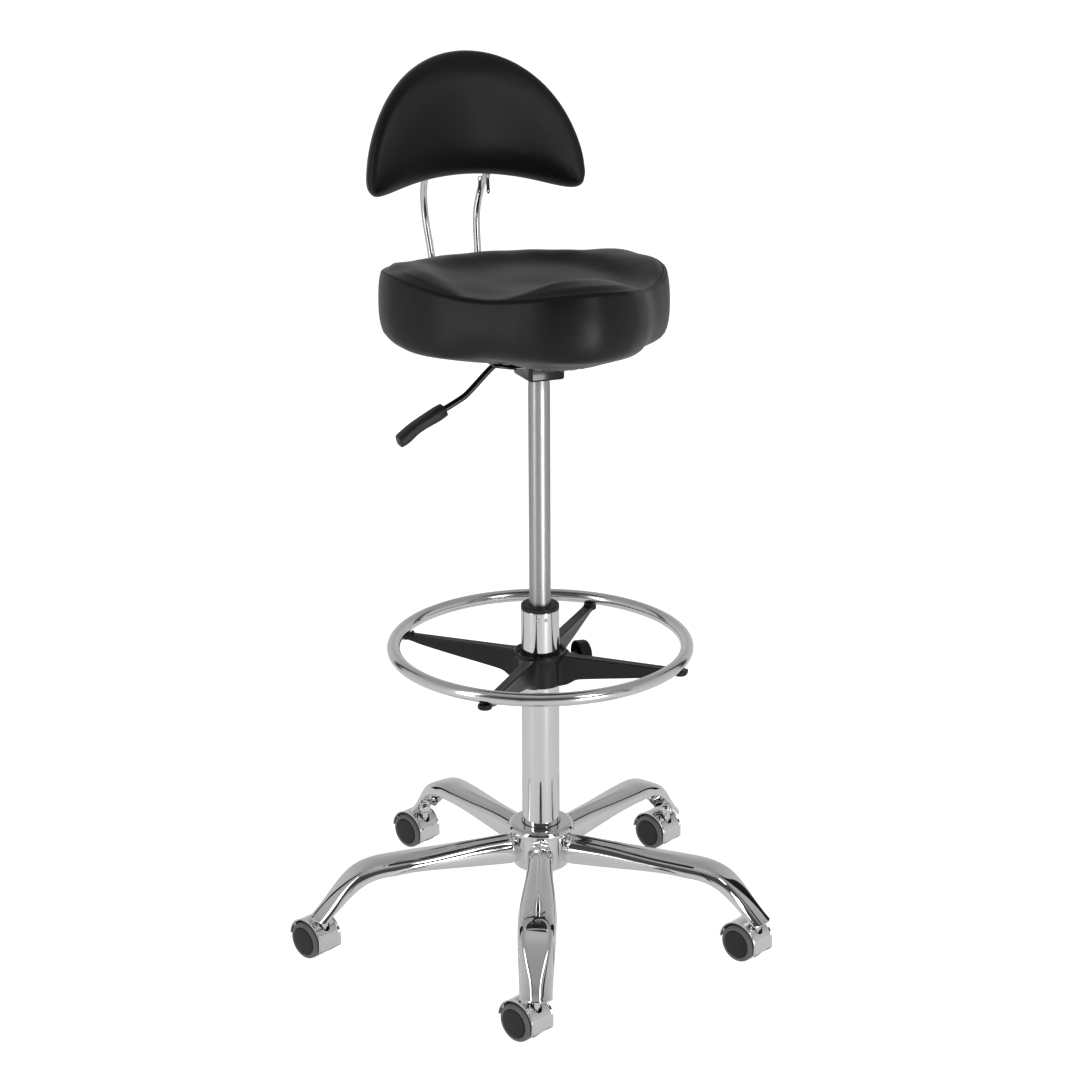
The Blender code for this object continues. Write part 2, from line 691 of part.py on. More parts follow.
rod_half = [
    (30, 68, 795.0), (30.5, 150, 795.0), (31, 225, 795.0), (31.5, 262, 799), (32, 285, 817), (32.5, 293, 842),
    (33.5, 297.5, 873), (37, 309, 922), (40.5, 304, 952), (43, 294, 971), (45, 278, 988),
    on_pad(46.5, 1008, 20.0), on_pad(48.5, 1030, 18.6), on_pad(51, 1062, 18.6),
]
for side, word in ((-1, "left"), (1, "right")):
    run = smooth_run([(side * x, y, z) for x, y, z in rod_half], 2)
    one = rod(f"back_rod_{word}", run, BACK_ROD_R)
    keep(under(BOX_BOTTOM, one), "chrome", seat_axis)
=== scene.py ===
"""Rolling stylist stool: the look scene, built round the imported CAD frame."""
import math

import bmesh
import bpy
import numpy as np
from mathutils import Matrix, Vector, noise
from mathutils.bvhtree import BVHTree


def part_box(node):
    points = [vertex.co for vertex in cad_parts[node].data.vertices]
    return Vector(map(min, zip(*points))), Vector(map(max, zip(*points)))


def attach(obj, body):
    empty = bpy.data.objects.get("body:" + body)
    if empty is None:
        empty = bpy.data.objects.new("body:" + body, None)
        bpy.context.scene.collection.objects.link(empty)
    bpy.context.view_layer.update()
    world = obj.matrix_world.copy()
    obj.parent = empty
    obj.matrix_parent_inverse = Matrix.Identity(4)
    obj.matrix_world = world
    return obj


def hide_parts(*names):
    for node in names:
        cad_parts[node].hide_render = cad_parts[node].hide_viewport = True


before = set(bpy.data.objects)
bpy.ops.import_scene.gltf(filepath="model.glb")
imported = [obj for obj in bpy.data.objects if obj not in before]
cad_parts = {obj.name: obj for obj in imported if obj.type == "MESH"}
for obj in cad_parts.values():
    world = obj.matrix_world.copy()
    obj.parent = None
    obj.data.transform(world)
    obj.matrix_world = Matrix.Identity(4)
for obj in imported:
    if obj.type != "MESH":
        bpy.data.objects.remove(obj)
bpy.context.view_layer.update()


SCENE = bpy.context.scene

# The column's axis in the frame, in mm; every coordinate below is in mm from it.
low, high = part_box("column_tube")
AX = (low.x + high.x) * 500
AY = (low.y + high.y) * 500


def W(x, y, z):
    return Vector(((x + AX) * 0.001, (y + AY) * 0.001, z * 0.001))


def rad(a):
    return math.radians(a)


# ------------------------------------------------------------------ materials

def new_material(name):
    m = bpy.data.materials.new(name)
    m.use_nodes = True
    t = m.node_tree
    bsdf = t.nodes.get("Principled BSDF")
    return m, t, bsdf


def node(t, kind, **values):
    n = t.nodes.new(kind)
    for k, v in values.items():
        if k in n.inputs:
            n.inputs[k].default_value = v
        else:
            setattr(n, k, v)
    return n


def ramp(t, source, stops):
    r = t.nodes.new("ShaderNodeValToRGB")
    e = r.color_ramp.elements
    while len(e) < len(stops):
        e.new(0.5)
    for el, (p, c) in zip(e, stops):
        el.position = p
        el.color = (c, c, c, 1) if isinstance(c, (int, float)) else (*c, 1)
    t.links.new(source, r.inputs[0])
    return r


def coords(t, scale=1.0, stretch=None):
    c = t.nodes.new("ShaderNodeTexCoord")
    m = t.nodes.new("ShaderNodeMapping")
    m.inputs["Scale"].default_value = stretch or (scale, scale, scale)
    t.links.new(c.outputs["Object"], m.inputs["Vector"])
    return m.outputs["Vector"]


def metal(name, base, rough, spread=0.03, detail=900.0, stretch=None, bump=0.0, tint=0.03):
    """A metal whose polish varies a little, with faint smears."""
    m, t, b = new_material(name)
    b.inputs["Metallic"].default_value = 1.0
    v = coords(t, 1.0, stretch)
    smear = node(t, "ShaderNodeTexNoise", Scale=14.0, Detail=4.0, Roughness=0.6)
    fine = node(t, "ShaderNodeTexNoise", Scale=detail, Detail=2.0, Roughness=0.5)
    t.links.new(v, smear.inputs["Vector"])
    t.links.new(v, fine.inputs["Vector"])
    r = ramp(t, smear.outputs["Fac"], [(0.3, max(0.0, rough - spread)), (0.75, rough + spread)])
    t.links.new(r.outputs["Color"], b.inputs["Roughness"])
    lo = tuple(max(0.0, c - tint) for c in base)
    c = ramp(t, smear.outputs["Fac"], [(0.25, lo), (0.7, base)])
    t.links.new(c.outputs["Color"], b.inputs["Base Color"])
    if bump:
        k = node(t, "ShaderNodeBump", Strength=bump, Distance=0.0001)
        t.links.new(fine.outputs["Fac"], k.inputs["Height"])
        t.links.new(k.outputs["Normal"], b.inputs["Normal"])
    return m


def moulded(name, base, rough, grain=1400.0, bump=0.2, distance=0.0001, spread=0.08, coat=0.0, lift=0.35):
    """Moulded plastic or paint: fine texture, slightly uneven gloss and rubbed lighter patches."""
    m, t, b = new_material(name)
    v = coords(t)
    big = node(t, "ShaderNodeTexNoise", Scale=22.0, Detail=5.0, Roughness=0.65)
    fine = node(t, "ShaderNodeTexNoise", Scale=grain, Detail=3.0, Roughness=0.6)
    t.links.new(v, big.inputs["Vector"])
    t.links.new(v, fine.inputs["Vector"])
    c = ramp(t, big.outputs["Fac"], [(0.25, base), (0.8, tuple(x * (1 + lift) for x in base))])
    t.links.new(c.outputs["Color"], b.inputs["Base Color"])
    r = ramp(t, big.outputs["Fac"], [(0.2, rough + spread), (0.8, max(0.02, rough - spread))])
    t.links.new(r.outputs["Color"], b.inputs["Roughness"])
    k = node(t, "ShaderNodeBump", Strength=bump, Distance=distance)
    t.links.new(fine.outputs["Fac"], k.inputs["Height"])
    t.links.new(k.outputs["Normal"], b.inputs["Normal"])
    b.inputs["Specular IOR Level"].default_value = 0.34
    if coat:
        b.inputs["Coat Weight"].default_value = coat
        b.inputs["Coat Roughness"].default_value = 0.06
    return m


def leatherette(name, base):
    m, t, b = new_material(name)
    v = coords(t)
    # the grain: small rounded pebbles between fine valleys, warped so no rows show
    warp = node(t, "ShaderNodeTexNoise", Scale=160.0, Detail=2.0, Roughness=0.5)
    t.links.new(v, warp.inputs["Vector"])
    mix = node(t, "ShaderNodeMix", data_type="VECTOR")
    mix.inputs["Factor"].default_value = 0.0035
    t.links.new(v, mix.inputs[4])
    t.links.new(warp.outputs["Color"], mix.inputs[5])
    cells = node(t, "ShaderNodeTexVoronoi", Scale=620.0, feature="DISTANCE_TO_EDGE")
    t.links.new(mix.outputs[1], cells.inputs["Vector"])
    pores = node(t, "ShaderNodeTexNoise", Scale=2300.0, Detail=2.0, Roughness=0.6)
    t.links.new(v, pores.inputs["Vector"])
    peb = ramp(t, cells.outputs["Distance"], [(0.0, 0.0), (0.18, 0.75), (0.5, 1.0)])
    height = node(t, "ShaderNodeMix", data_type="FLOAT")
    height.inputs["Factor"].default_value = 0.3
    t.links.new(peb.outputs["Color"], height.inputs[2])
    t.links.new(pores.outputs["Fac"], height.inputs[3])
    k = node(t, "ShaderNodeBump", Strength=0.32, Distance=0.00022)
    t.links.new(height.outputs[0], k.inputs["Height"])
    # slow unevenness of the cover over its foam
    soft = node(t, "ShaderNodeTexNoise", Scale=16.0, Detail=3.0, Roughness=0.5)
    t.links.new(v, soft.inputs["Vector"])
    k2 = node(t, "ShaderNodeBump", Strength=0.25, Distance=0.002)
    t.links.new(soft.outputs["Fac"], k2.inputs["Height"])
    t.links.new(k.outputs["Normal"], k2.inputs["Normal"])
    t.links.new(k2.outputs["Normal"], b.inputs["Normal"])
    # colour: near black, valleys darker, rubbed patches a shade lighter
    c = ramp(t, peb.outputs["Color"], [(0.0, tuple(x * 0.5 for x in base)), (0.8, base)])
    rub = ramp(t, soft.outputs["Fac"], [(0.3, tuple(x * 0.85 for x in base)), (0.75, tuple(x * 1.25 for x in base))])
    cm = node(t, "ShaderNodeMix", data_type="RGBA", blend_type="MIX")
    cm.inputs["Factor"].default_value = 0.5
    t.links.new(c.outputs["Color"], cm.inputs[6])
    t.links.new(rub.outputs["Color"], cm.inputs[7])
    t.links.new(cm.outputs[2], b.inputs["Base Color"])
    r = ramp(t, soft.outputs["Fac"], [(0.2, 0.42), (0.8, 0.35)])
    t.links.new(r.outputs["Color"], b.inputs["Roughness"])
    b.inputs["Specular IOR Level"].default_value = 0.33
    b.inputs["Sheen Weight"].default_value = 0.06
    b.inputs["Sheen Roughness"].default_value = 0.35
    return m


MATS = {
    "chrome": metal("polished_chrome", (0.83, 0.835, 0.84), 0.045, 0.02),
    "ring": metal("ring_chrome", (0.80, 0.805, 0.81), 0.17, 0.02),
    "satin": metal("satin_steel", (0.52, 0.52, 0.52), 0.33, 0.04, 1200.0, (260.0, 260.0, 3.0), 0.25, 0.06),
    "zinc": metal("zinc_plated", (0.62, 0.63, 0.64), 0.32, 0.06, 700.0, None, 0.2, 0.08),
    "black_steel": moulded("black_enamel", (0.004, 0.004, 0.0042), 0.14, 500.0, 0.05, 0.00006, 0.04, 0.3),
    "nylon": moulded("black_nylon", (0.0075, 0.0075, 0.008), 0.3, 1500.0, 0.25, 0.00012, 0.07),
    "grip": moulded("grip_plastic", (0.016, 0.016, 0.0165), 0.42, 1100.0, 0.4, 0.0002, 0.08),
    "wheel": moulded("wheel_nylon", (0.019, 0.019, 0.02), 0.42, 1500.0, 0.2, 0.0001, 0.08),
    "tyre": moulded("grey_tread", (0.15, 0.15, 0.155), 0.42, 1300.0, 0.25, 0.00012, 0.07, 0.0, 0.2),
    "bush": moulded("bush_plastic", (0.015, 0.015, 0.015), 0.5, 1200.0, 0.3, 0.00015),
    "web": moulded("caster_web", (0.012, 0.012, 0.012), 0.5, 1200.0, 0.25, 0.00012),
    "leather": leatherette("black_cover", (0.0046, 0.0046, 0.0048)),
    "thread": moulded("thread", (0.006, 0.006, 0.006), 0.7, 5000.0, 0.6, 0.0002),
    "zip": moulded("zip_tape", (0.012, 0.012, 0.012), 0.75, 3500.0, 0.7, 0.0003),
    "pull": moulded("zip_pull_enamel", (0.02, 0.02, 0.02), 0.3, 900.0, 0.1, 0.0001, 0.05, 0.4),
    "pull_metal": metal("zip_pull_metal", (0.33, 0.33, 0.34), 0.25, 0.05),
    "screw": metal("dark_screw", (0.18, 0.18, 0.185), 0.3, 0.06),
    "ply": moulded("stained_board", (0.05, 0.035, 0.024), 0.6, 700.0, 0.4, 0.0004, 0.08),
    "cambric": moulded("dust_cover", (0.01, 0.01, 0.01), 0.85, 2500.0, 0.7, 0.0003),
}

# ------------------------------------------------------------------- geometry


def make(name, verts, faces, mat, body, slot, smooth=True, stands_for=(), scale=0.001):
    """verts in mm from the column axis (or already a list of Vectors in metres with scale=None)."""
    me = bpy.data.meshes.new(name)
    if scale:
        v = np.array(verts, float)
        v = (v + np.array([AX, AY, 0.0])) * scale
        me.from_pydata(v.tolist(), [], faces)
    else:
        me.from_pydata([tuple(p) for p in verts], [], faces)
    me.validate(clean_customdata=False)
    bm = bmesh.new()
    bm.from_mesh(me)
    bmesh.ops.remove_doubles(bm, verts=bm.verts, dist=1e-7)
    bmesh.ops.recalc_face_normals(bm, faces=bm.faces)
    bm.to_mesh(me)
    bm.free()
    if smooth:
        me.shade_smooth()
    o = bpy.data.objects.new(name, me)
    SCENE.collection.objects.link(o)
    me.materials.append(MATS[mat])
    o["look_body"] = body
    o["look_slot"] = slot
    if stands_for:
        o["look_for"] = list(stands_for)
    PIECES.append(o)
    return o


PIECES = []


def grid(rows, closed_u=False, closed_v=True, cap=False):
    """Faces between rows of points; closed_v joins each row round, closed_u joins last row to first."""
    rows = [list(map(tuple, r)) for r in rows]
    n = len(rows[0])
    verts = [p for r in rows for p in r]
    faces = []
    R = len(rows)
    for i in range(R if closed_u else R - 1):
        a, b = i * n, ((i + 1) % R) * n
        for j in range(n if closed_v else n - 1):
            k = (j + 1) % n
            faces.append((a + j, a + k, b + k, b + j))
    if cap:
        for row, flip in ((0, True), (R - 1, False)):
            centre = tuple(np.mean(np.array(rows[row]), axis=0))
            verts.append(centre)
            c = len(verts) - 1
            for j in range(n):
                a, b = row * n + j, row * n + (j + 1) % n
                faces.append((b, a, c) if flip else (a, b, c))
    return verts, faces


def rounded(profile, radius, n=4, closed=False):
    """A profile with every corner rounded; radius is one number or one per point."""
    pts = [np.array(p, float) for p in profile]
    m = len(pts)
    out = []
    for i in range(m):
        r = radius[i] if isinstance(radius, (list, tuple)) else radius
        if not closed and i in (0, m - 1) or r <= 0:
            out.append(pts[i])
            continue
        a, p, b = pts[i - 1], pts[i], pts[(i + 1) % m]
        da, db = a - p, b - p
        la, lb = np.linalg.norm(da), np.linalg.norm(db)
        if la < 1e-9 or lb < 1e-9:
            out.append(p)
            continue
        k = min(r, 0.45 * la, 0.45 * lb)
        s, e = p + da / la * k, p + db / lb * k
        for q in range(n + 1):
            t = q / n
            out.append((1 - t) ** 2 * s + 2 * t * (1 - t) * p + t * t * e)
    return out


def supported(points, closed, at=0.7, over=3.5):
    """Extra points near both ends of long straight runs, so that smooth shading stays flat along them."""
    out = []
    m = len(points)
    for i in range(m):
        p = points[i]
        out.append(p)
        if i == m - 1 and not closed:
            break
        q = points[(i + 1) % m]
        length = np.linalg.norm(q - p)
        if length > over:
            out.append(p + (q - p) * (at / length))
            out.append(p + (q - p) * (1 - at / length))
    return out


def basis(direction, up=Vector((0, 0, 1))):
    z = Vector(direction).normalized()
    x = up.cross(z)
    if x.length < 1e-6:
        x = Vector((1, 0, 0))
    x.normalize()
    y = z.cross(x)
    return x, y, z


def lathe(name, profile, seg, mat, body, slot, centre=(0, 0, 0), axis=(0, 0, 1), closed=False, radius=0.0,
          n=4, stands_for=(), smooth=True, ends="auto"):
    """Turned shape: profile of (r, along axis)."""
    prof = rounded(profile, radius, n, closed) if radius else [np.array(p, float) for p in profile]
    prof = supported(prof, closed)
    x, y, z = basis(axis, Vector((0, 1, 0)) if abs(Vector(axis).normalized().z) > 0.9 else Vector((0, 0, 1)))
    c = Vector(centre)
    rows = []
    for r, h in prof:
        r = max(r, 0.0)
        rows.append([c + x * (r * math.cos(2 * math.pi * k / seg)) + y * (r * math.sin(2 * math.pi * k / seg)) + z * h
                     for k in range(seg)])
    v, f = grid(rows, closed_u=closed, closed_v=True)
    return make(name, v, f, mat, body, slot, smooth, stands_for)


def catmull(points, per=8, closed=False):
    p = [np.array(q, float) for q in points]
    n = len(p)
    out = []
    last = n if closed else n - 1
    for i in range(last):
        p1, p2 = p[i], p[(i + 1) % n]
        p0 = p[i - 1] if (closed or i > 0) else p1 * 2 - p2
        p3 = p[(i + 2) % n] if (closed or i + 2 < n) else p2 * 2 - p1
        t0 = 0.0
        t1 = t0 + max(1e-6, np.linalg.norm(p1 - p0)) ** 0.5
        t2 = t1 + max(1e-6, np.linalg.norm(p2 - p1)) ** 0.5
        t3 = t2 + max(1e-6, np.linalg.norm(p3 - p2)) ** 0.5
        for k in range(per):
            t = t1 + (t2 - t1) * k / per
            a1 = (t1 - t) / (t1 - t0) * p0 + (t - t0) / (t1 - t0) * p1
            a2 = (t2 - t) / (t2 - t1) * p1 + (t - t1) / (t2 - t1) * p2
            a3 = (t3 - t) / (t3 - t2) * p2 + (t - t2) / (t3 - t2) * p3
            b1 = (t2 - t) / (t2 - t0) * a1 + (t - t0) / (t2 - t0) * a2
            b2 = (t3 - t) / (t3 - t1) * a2 + (t - t1) / (t3 - t1) * a3
            out.append((t2 - t) / (t2 - t1) * b1 + (t - t1) / (t2 - t1) * b2)
    if not closed:
        out.append(p[-1])
    return out


def resample(points, count, closed=False):
    p = np.array(points, float)
    if closed:
        p = np.vstack([p, p[:1]])
    d = np.concatenate([[0], np.cumsum(np.linalg.norm(np.diff(p, axis=0), axis=1))])
    s = np.linspace(0, d[-1], count, endpoint=not closed)
    return np.stack([np.interp(s, d, p[:, k]) for k in range(p.shape[1])], axis=1)


def sweep(name, path, radius, seg, mat, body, slot, stands_for=(), flat=(1.0, 1.0), caps=True, end_round=True):
    """A round rod along a smooth path, with rounded ends."""
    P = [Vector(q) for q in path]
    T = []
    for i in range(len(P)):
        a, b = P[max(0, i - 1)], P[min(len(P) - 1, i + 1)]
        T.append((b - a).normalized())
    nrm = T[0].orthogonal().normalized()
    frames = []
    for i, t in enumerate(T):
        nrm = (nrm - t * nrm.dot(t)).normalized()
        frames.append((nrm.copy(), t.cross(nrm)))
    radii = [radius] * len(P) if isinstance(radius, (int, float)) else list(radius)
    rows = []

    def ring(c, fr, r):
        return [c + fr[0] * (r * flat[0] * math.cos(2 * math.pi * k / seg)) + fr[1] * (r * flat[1] * math.sin(2 * math.pi * k / seg))
                for k in range(seg)]

    if caps and end_round:
        r = radii[0]
        for q in (0.0, 0.35, 0.7, 0.92):
            rows.append(ring(P[0] - T[0] * (0.3 * r * (1 - q * q)), frames[0], max(0.02, r * math.sqrt(max(0.0, 1 - (1 - q) ** 2)))))
    for c, fr, r in zip(P, frames, radii):
        rows.append(ring(c, fr, r))
    if caps and end_round:
        r = radii[-1]
        for q in (0.92, 0.7, 0.35, 0.0):
            rows.append(ring(P[-1] + T[-1] * (0.3 * r * (1 - q * q)), frames[-1], max(0.02, r * math.sqrt(max(0.0, 1 - (1 - q) ** 2)))))
    v, f = grid(rows, cap=caps)
    return make(name, v, f, mat, body, slot, True, stands_for)


def apply_all(o):
    deps = bpy.context.evaluated_depsgraph_get()
    me = bpy.data.meshes.new_from_object(o.evaluated_get(deps))
    old = o.data
    o.modifiers.clear()
    o.data = me
    if old.users == 0:
        bpy.data.meshes.remove(old)
    return o


def modify(o, kind, **values):
    m = o.modifiers.new(kind.title(), kind)
    for k, v in values.items():
        setattr(m, k, v)
    return m


def bevel(o, width, segments=3, angle=30):
    return modify(o, "BEVEL", width=width * 0.001, segments=segments, limit_method="ANGLE", angle_limit=rad(angle),
                  harden_normals=False)


def subdivide(o, levels=1):
    return modify(o, "SUBSURF", levels=levels, render_levels=levels)


def shade_by_angle(o, degrees=35):
    o.data.shade_smooth()
    me = o.data
    bm = bmesh.new()
    bm.from_mesh(me)
    for e in bm.edges:
        if len(e.link_faces) == 2:
            e.smooth = e.calc_face_angle(0.0) < rad(degrees)
    bm.to_mesh(me)
    bm.free()


def boolean(o, cutter, how="DIFFERENCE"):
    modify(o, "BOOLEAN", operation=how, solver="EXACT", object=cutter)
    bpy.context.view_layer.update()
    apply_all(o)


def drop(o):
    if o in PIECES:
        PIECES.remove(o)
    bpy.data.objects.remove(o, do_unlink=True)


def turn_z(points, degrees):
    a = rad(degrees)
    c, s = math.cos(a), math.sin(a)
    p = np.array(points, float)
    q = p.copy()
    q[:, 0] = c * p[:, 0] - s * p[:, 1]
    q[:, 1] = s * p[:, 0] + c * p[:, 1]
    return q

# ----------------------------------------------------------------------- base
LEG_FIRST = -113.9
STEM_AT = 300.0

hub = lathe("hub", [
    (26.6, 157), (38.4, 157), (42.2, 155.4), (44.5, 151.4), (44.5, 147.0), (43.4, 145.6), (38.7, 145.4), (38, 144.2),
    (38, 100.5), (36.4, 97), (25.5, 97), (25.5, 153.6), (26.6, 153.6),
], 192, "chrome", "base", "chrome", closed=True,
    radius=[0.4, 2.4, 1.6, 1.2, 0.8, 0.8, 0.5, 0.8, 1.4, 1.2, 0.4, 0.2, 0.2], n=4, stands_for=("base_hub",))

tube = lathe("column_tube_shell", [
    (23, 104), (23, 460), (25, 460), (25, 90), (5.8, 90), (5.8, 94), (5.8, 104),
], 192, "chrome", "base", "chrome", closed=True, radius=[0.5, 0.4, 0.4, 1.0, 0.4, 0.0, 0.3], n=3,
    stands_for=("column_tube",))


def bead(name, at, direction, profile, mat, body, slot, seg=32, radius=0.0, closed=False):
    return lathe(name, profile, seg, mat, body, slot, centre=at, axis=direction, closed=closed, radius=radius)


# two small pressed pips under the tube's mouth, on the sitter's side
for k, a in enumerate((-112.5 - 5.7, -112.5 + 17.7)):
    d = (math.cos(rad(a)), math.sin(rad(a)), 0)
    at = (24.6 * d[0], 24.6 * d[1], 451)
    bead(f"tube_pip_{k + 1}", at, d, [(0.0, 1.7), (1.1, 1.5), (2.1, 0.9), (2.6, 0.2), (2.7, -0.6), (0.0, -0.6)],
         "chrome", "base", "chrome", 24)

bush = lathe("bush", [
    (14.5, 466), (24, 466), (25, 465), (25, 460.3), (22.6, 460.3), (22.6, 432), (14.5, 432),
], 128, "bush", "base", "black_plastic", closed=True, radius=[0.6, 0.8, 0.5, 0.3, 0.3, 0.4, 0.4], n=3,
    stands_for=("column_bush",))
pits = []
for k in range(6):
    a = rad(-112.5 + 30 + 60 * k)
    pits.append(lathe(f"pit_{k}", [(0.0, 470), (1.5, 470), (1.5, 462.5), (0.0, 462.5)], 16, "bush", "base", "black_plastic",
                      centre=(20.0 * math.cos(a), 20.0 * math.sin(a), 0), smooth=False))
for c in pits:
    boolean(bush, c)
    drop(c)
shade_by_angle(bush, 40)

# Leg sections: (share of half width, share of height) from the crown down one side.
TUBE = [(0, 1.0), (.045, .998), (.10, .982), (.16, .958), (.40, .925), (.66, .875), (.86, .775), (.97, .60), (1.0, .42), (.975, .24),
        (.86, .09), (.58, .012), (.02, 0)]
ARCH = [(0, 1.0), (.09, .999), (.19, .993), (.36, .972), (.55, .93), (.72, .855), (.85, .74), (.935, .58), (.98, .4), (1.0, .22),
        (1.0, .10), (.99, .03), (.95, 0)]
MID = [(0, 1.0), (.30, .996), (.52, .985), (.64, .965), (.73, .925), (.80, .85), (.865, .74), (.925, .60), (.965, .43), (.995, .26),
       (1.0, .11), (.99, .03), (.95, 0)]
TIP = [(0, 1.0), (.10, 1.0), (.20, .998), (.27, .975), (.38, .90), (.52, .79), (.66, .66), (.79, .52), (.90, .37), (.97, .22),
       (1.0, .10), (.995, .03), (.95, 0)]
STATIONS = [
    # top (r, z), bottom (r, z), width
    ((36, 144), (36, 103), 36), ((95, 141), (95, 106), 36), ((150, 137), (150, 111), 43), ((198, 134), (200, 115), 49),
    ((232, 131), (228, 114), 49), ((256, 121), (248, 107), 48), ((277, 104), (266, 93), 46), ((297, 83), (284, 74), 43),
    ((316.5, 60.5), (301, 56.8), 41),
]


def mixed(a, b, t):
    return [((1 - t) * p[0] + t * q[0], (1 - t) * p[1] + t * q[1]) for p, q in zip(a, b)]


def ease(x, a, b):
    t = min(1.0, max(0.0, (x - a) / (b - a)))
    return t * t * (3 - 2 * t)


def leg_half(r):
    """The half section at this distance of the crown from the column."""
    half = mixed(TUBE, ARCH, ease(r, 150, 212))
    half = mixed(half, MID, ease(r, 222, 258))
    half = mixed(half, TIP, ease(r, 262, 308))
    return half


flat_stations = [list(t) + list(b) + [w] for t, b, w in STATIONS]
STEPS = catmull(flat_stations, 6)
root = np.array(flat_stations[0], float)
STEPS = [root + np.array([e, 0, e, 0, 0]) for e in (-6.5, -4.5, 0.0, 5.0)] + [
    s for s in STEPS if s[0] > 45]


def leg_mesh_rows():
    rows = []
    total = len(STEPS)
    for i, s in enumerate(STEPS):
        tr, tz, br, bz, w = s
        half = leg_half(tr)
        d = np.array([tr - br, tz - bz])
        flare = ease(i, total - 2.2, total - 1)
        row = []
        full = [(-a, h) for a, h in reversed(half[1:])] + half
        for a, h in full:
            r = br + d[0] * h
            z = bz + d[1] * h
            y = a * w / 2
            # a small outward lip where the pressing ends
            r += flare * 0.9 * h
            y += flare * 0.7 * a
            row.append((r, y, z))
        # root: shoulders rolled in where the tube meets the hub
        if tr < 46:
            k = 1 - 0.16 * ((46 - tr) / 10) ** 2
            mid = (tz + bz) / 2 - 2
            row = [(r, y * k, mid + (z - mid) * k) for r, y, z in row]
        rows.append(row)
    return rows


LEG_ROWS = leg_mesh_rows()


def leg_post_profile(top_z):
    return [(0.0, 57.0), (6.1, 57.0), (8.9, 57.0), (9.0, 58.2), (9.0, 67.0), (7.6, 69.4), (7.2, 69.6), (7.2, 75.6), (6.4, 76.6),
            (4.6, 77.0), (4.4, top_z), (0.0, top_z)]




def copies(made, matrices, rename):
    """Copies of the pieces in made, moved by each matrix; rename gives names, bodies and CAD nodes."""
    for k, mat in enumerate(matrices):
        for o in made:
            me = o.data.copy()
            me.transform(mat)
            c = bpy.data.objects.new(rename(o.name, k), me)
            me.name = c.name
            SCENE.collection.objects.link(c)
            c["look_body"] = rename(o["look_body"], k)
            c["look_slot"] = o["look_slot"]
            if "look_for" in o:
                c["look_for"] = [rename(q, k) for q in o["look_for"]]
            PIECES.append(c)


before = len(PIECES)
for i in range(1):
    angle = LEG_FIRST + 72 * i
    rows = [turn_z(r, angle) for r in LEG_ROWS]
    v, f = grid(rows, closed_v=False)
    leg = make(f"leg_{i + 1}", v, f, "chrome", "base", "chrome", stands_for=(f"base_leg_{i + 1}",))
    # outward normals before the sheet gets its thickness
    bm = bmesh.new()
    bm.from_mesh(leg.data)
    bm.faces.ensure_lookup_table()
    crown = W(*turn_z([(150, 0, 400)], angle)[0])
    best = max(bm.faces, key=lambda q: q.calc_center_median().z)
    if best.normal.z < 0:
        bmesh.ops.reverse_faces(bm, faces=bm.faces)
    bm.to_mesh(leg.data)
    bm.free()
    modify(leg, "SOLIDIFY", thickness=0.0019, offset=-1.0, use_even_offset=False)
    subdivide(leg, 2)
    apply_all(leg)
    leg.data.shade_smooth()
    # the caster's socket under the arch: collar, nut and rivet
    c = turn_z([(STEM_AT, 0, 0)], angle)[0]
    lathe(f"leg_socket_{i + 1}", [
        (6.1, 57.2), (8.4, 57.2), (9.4, 58.8), (9.7, 61.5), (9.3, 64.6), (8.0, 67.2), (6.4, 68.4), (5.6, 69.4), (5.6, 71.0), (0.01, 71.0),
        (0.01, 68.9), (6.1, 68.9),
    ], 48, "chrome", "base", "chrome", centre=(c[0], c[1], 0), closed=True, radius=0.5, n=3)
    # hexagon nut and bolt end that hold the socket to the crown of the leg
    nut_rows = []
    for h, g in ((68.6, 0.92), (69.0, 1.0), (71.0, 1.0), (71.6, 0.9)):
        nut_rows.append([(c[0] + 6.2 * g * math.cos(rad(60 * k + angle)), c[1] + 6.2 * g * math.sin(rad(60 * k + angle)), h)
                         for k in range(6)])
    v, f = grid(nut_rows, cap=True)
    nut = make(f"leg_nut_{i + 1}", v, f, "chrome", "base", "chrome", smooth=False)
    lathe(f"leg_rivet_{i + 1}", [(0, 76.4), (1.6, 76.1), (2.8, 75.0), (3.3, 73.2), (3.3, 71.0), (0, 71.0)], 32, "chrome", "base", "chrome",
          centre=(c[0] - 1.5 * math.cos(rad(angle)), c[1] - 1.5 * math.sin(rad(angle)), 0))

centre = W(0, 0, 0)
TURNS = [Matrix.Translation(centre) @ Matrix.Rotation(rad(72 * k), 4, "Z") @ Matrix.Translation(-centre) for k in range(1, 5)]
copies(PIECES[before:], TURNS, lambda nm, k: nm.replace("_1", f"_{k + 2}") if nm.endswith("_1") else nm)

# -------------------------------------------------------------------- casters
HEADING = 24.5
TRAIL, AXLE_Z = 17.0, 25.0


def to_caster(points, angle):
    """Caster frame (along the axle, trail, up) to the frame of the column."""
    c = turn_z([(STEM_AT, 0, 0)], angle)[0]
    # the CAD turns the caster by its heading in the base's own frame
    q = turn_z(points, HEADING)
    return q + np.array([c[0], c[1], 0.0])


def hood_section(outer, count=40):
    """(trail, z) along the hood's outside, from the skirt's foot up over the wheels."""
    low = AXLE_Z - 9.7
    pts = []
    first, last = 14.0, 177.0
    start = (TRAIL - outer * math.cos(rad(first)), AXLE_Z + outer * math.sin(rad(first)))
    for k in range(5):
        t = k / 5
        pts.append((start[0], low + (start[1] - low) * t))
    for k in range(count + 1):
        a = rad(first + (last - first) * k / count)
        pts.append((TRAIL - outer * math.cos(a), AXLE_Z + outer * math.sin(a)))
    return pts


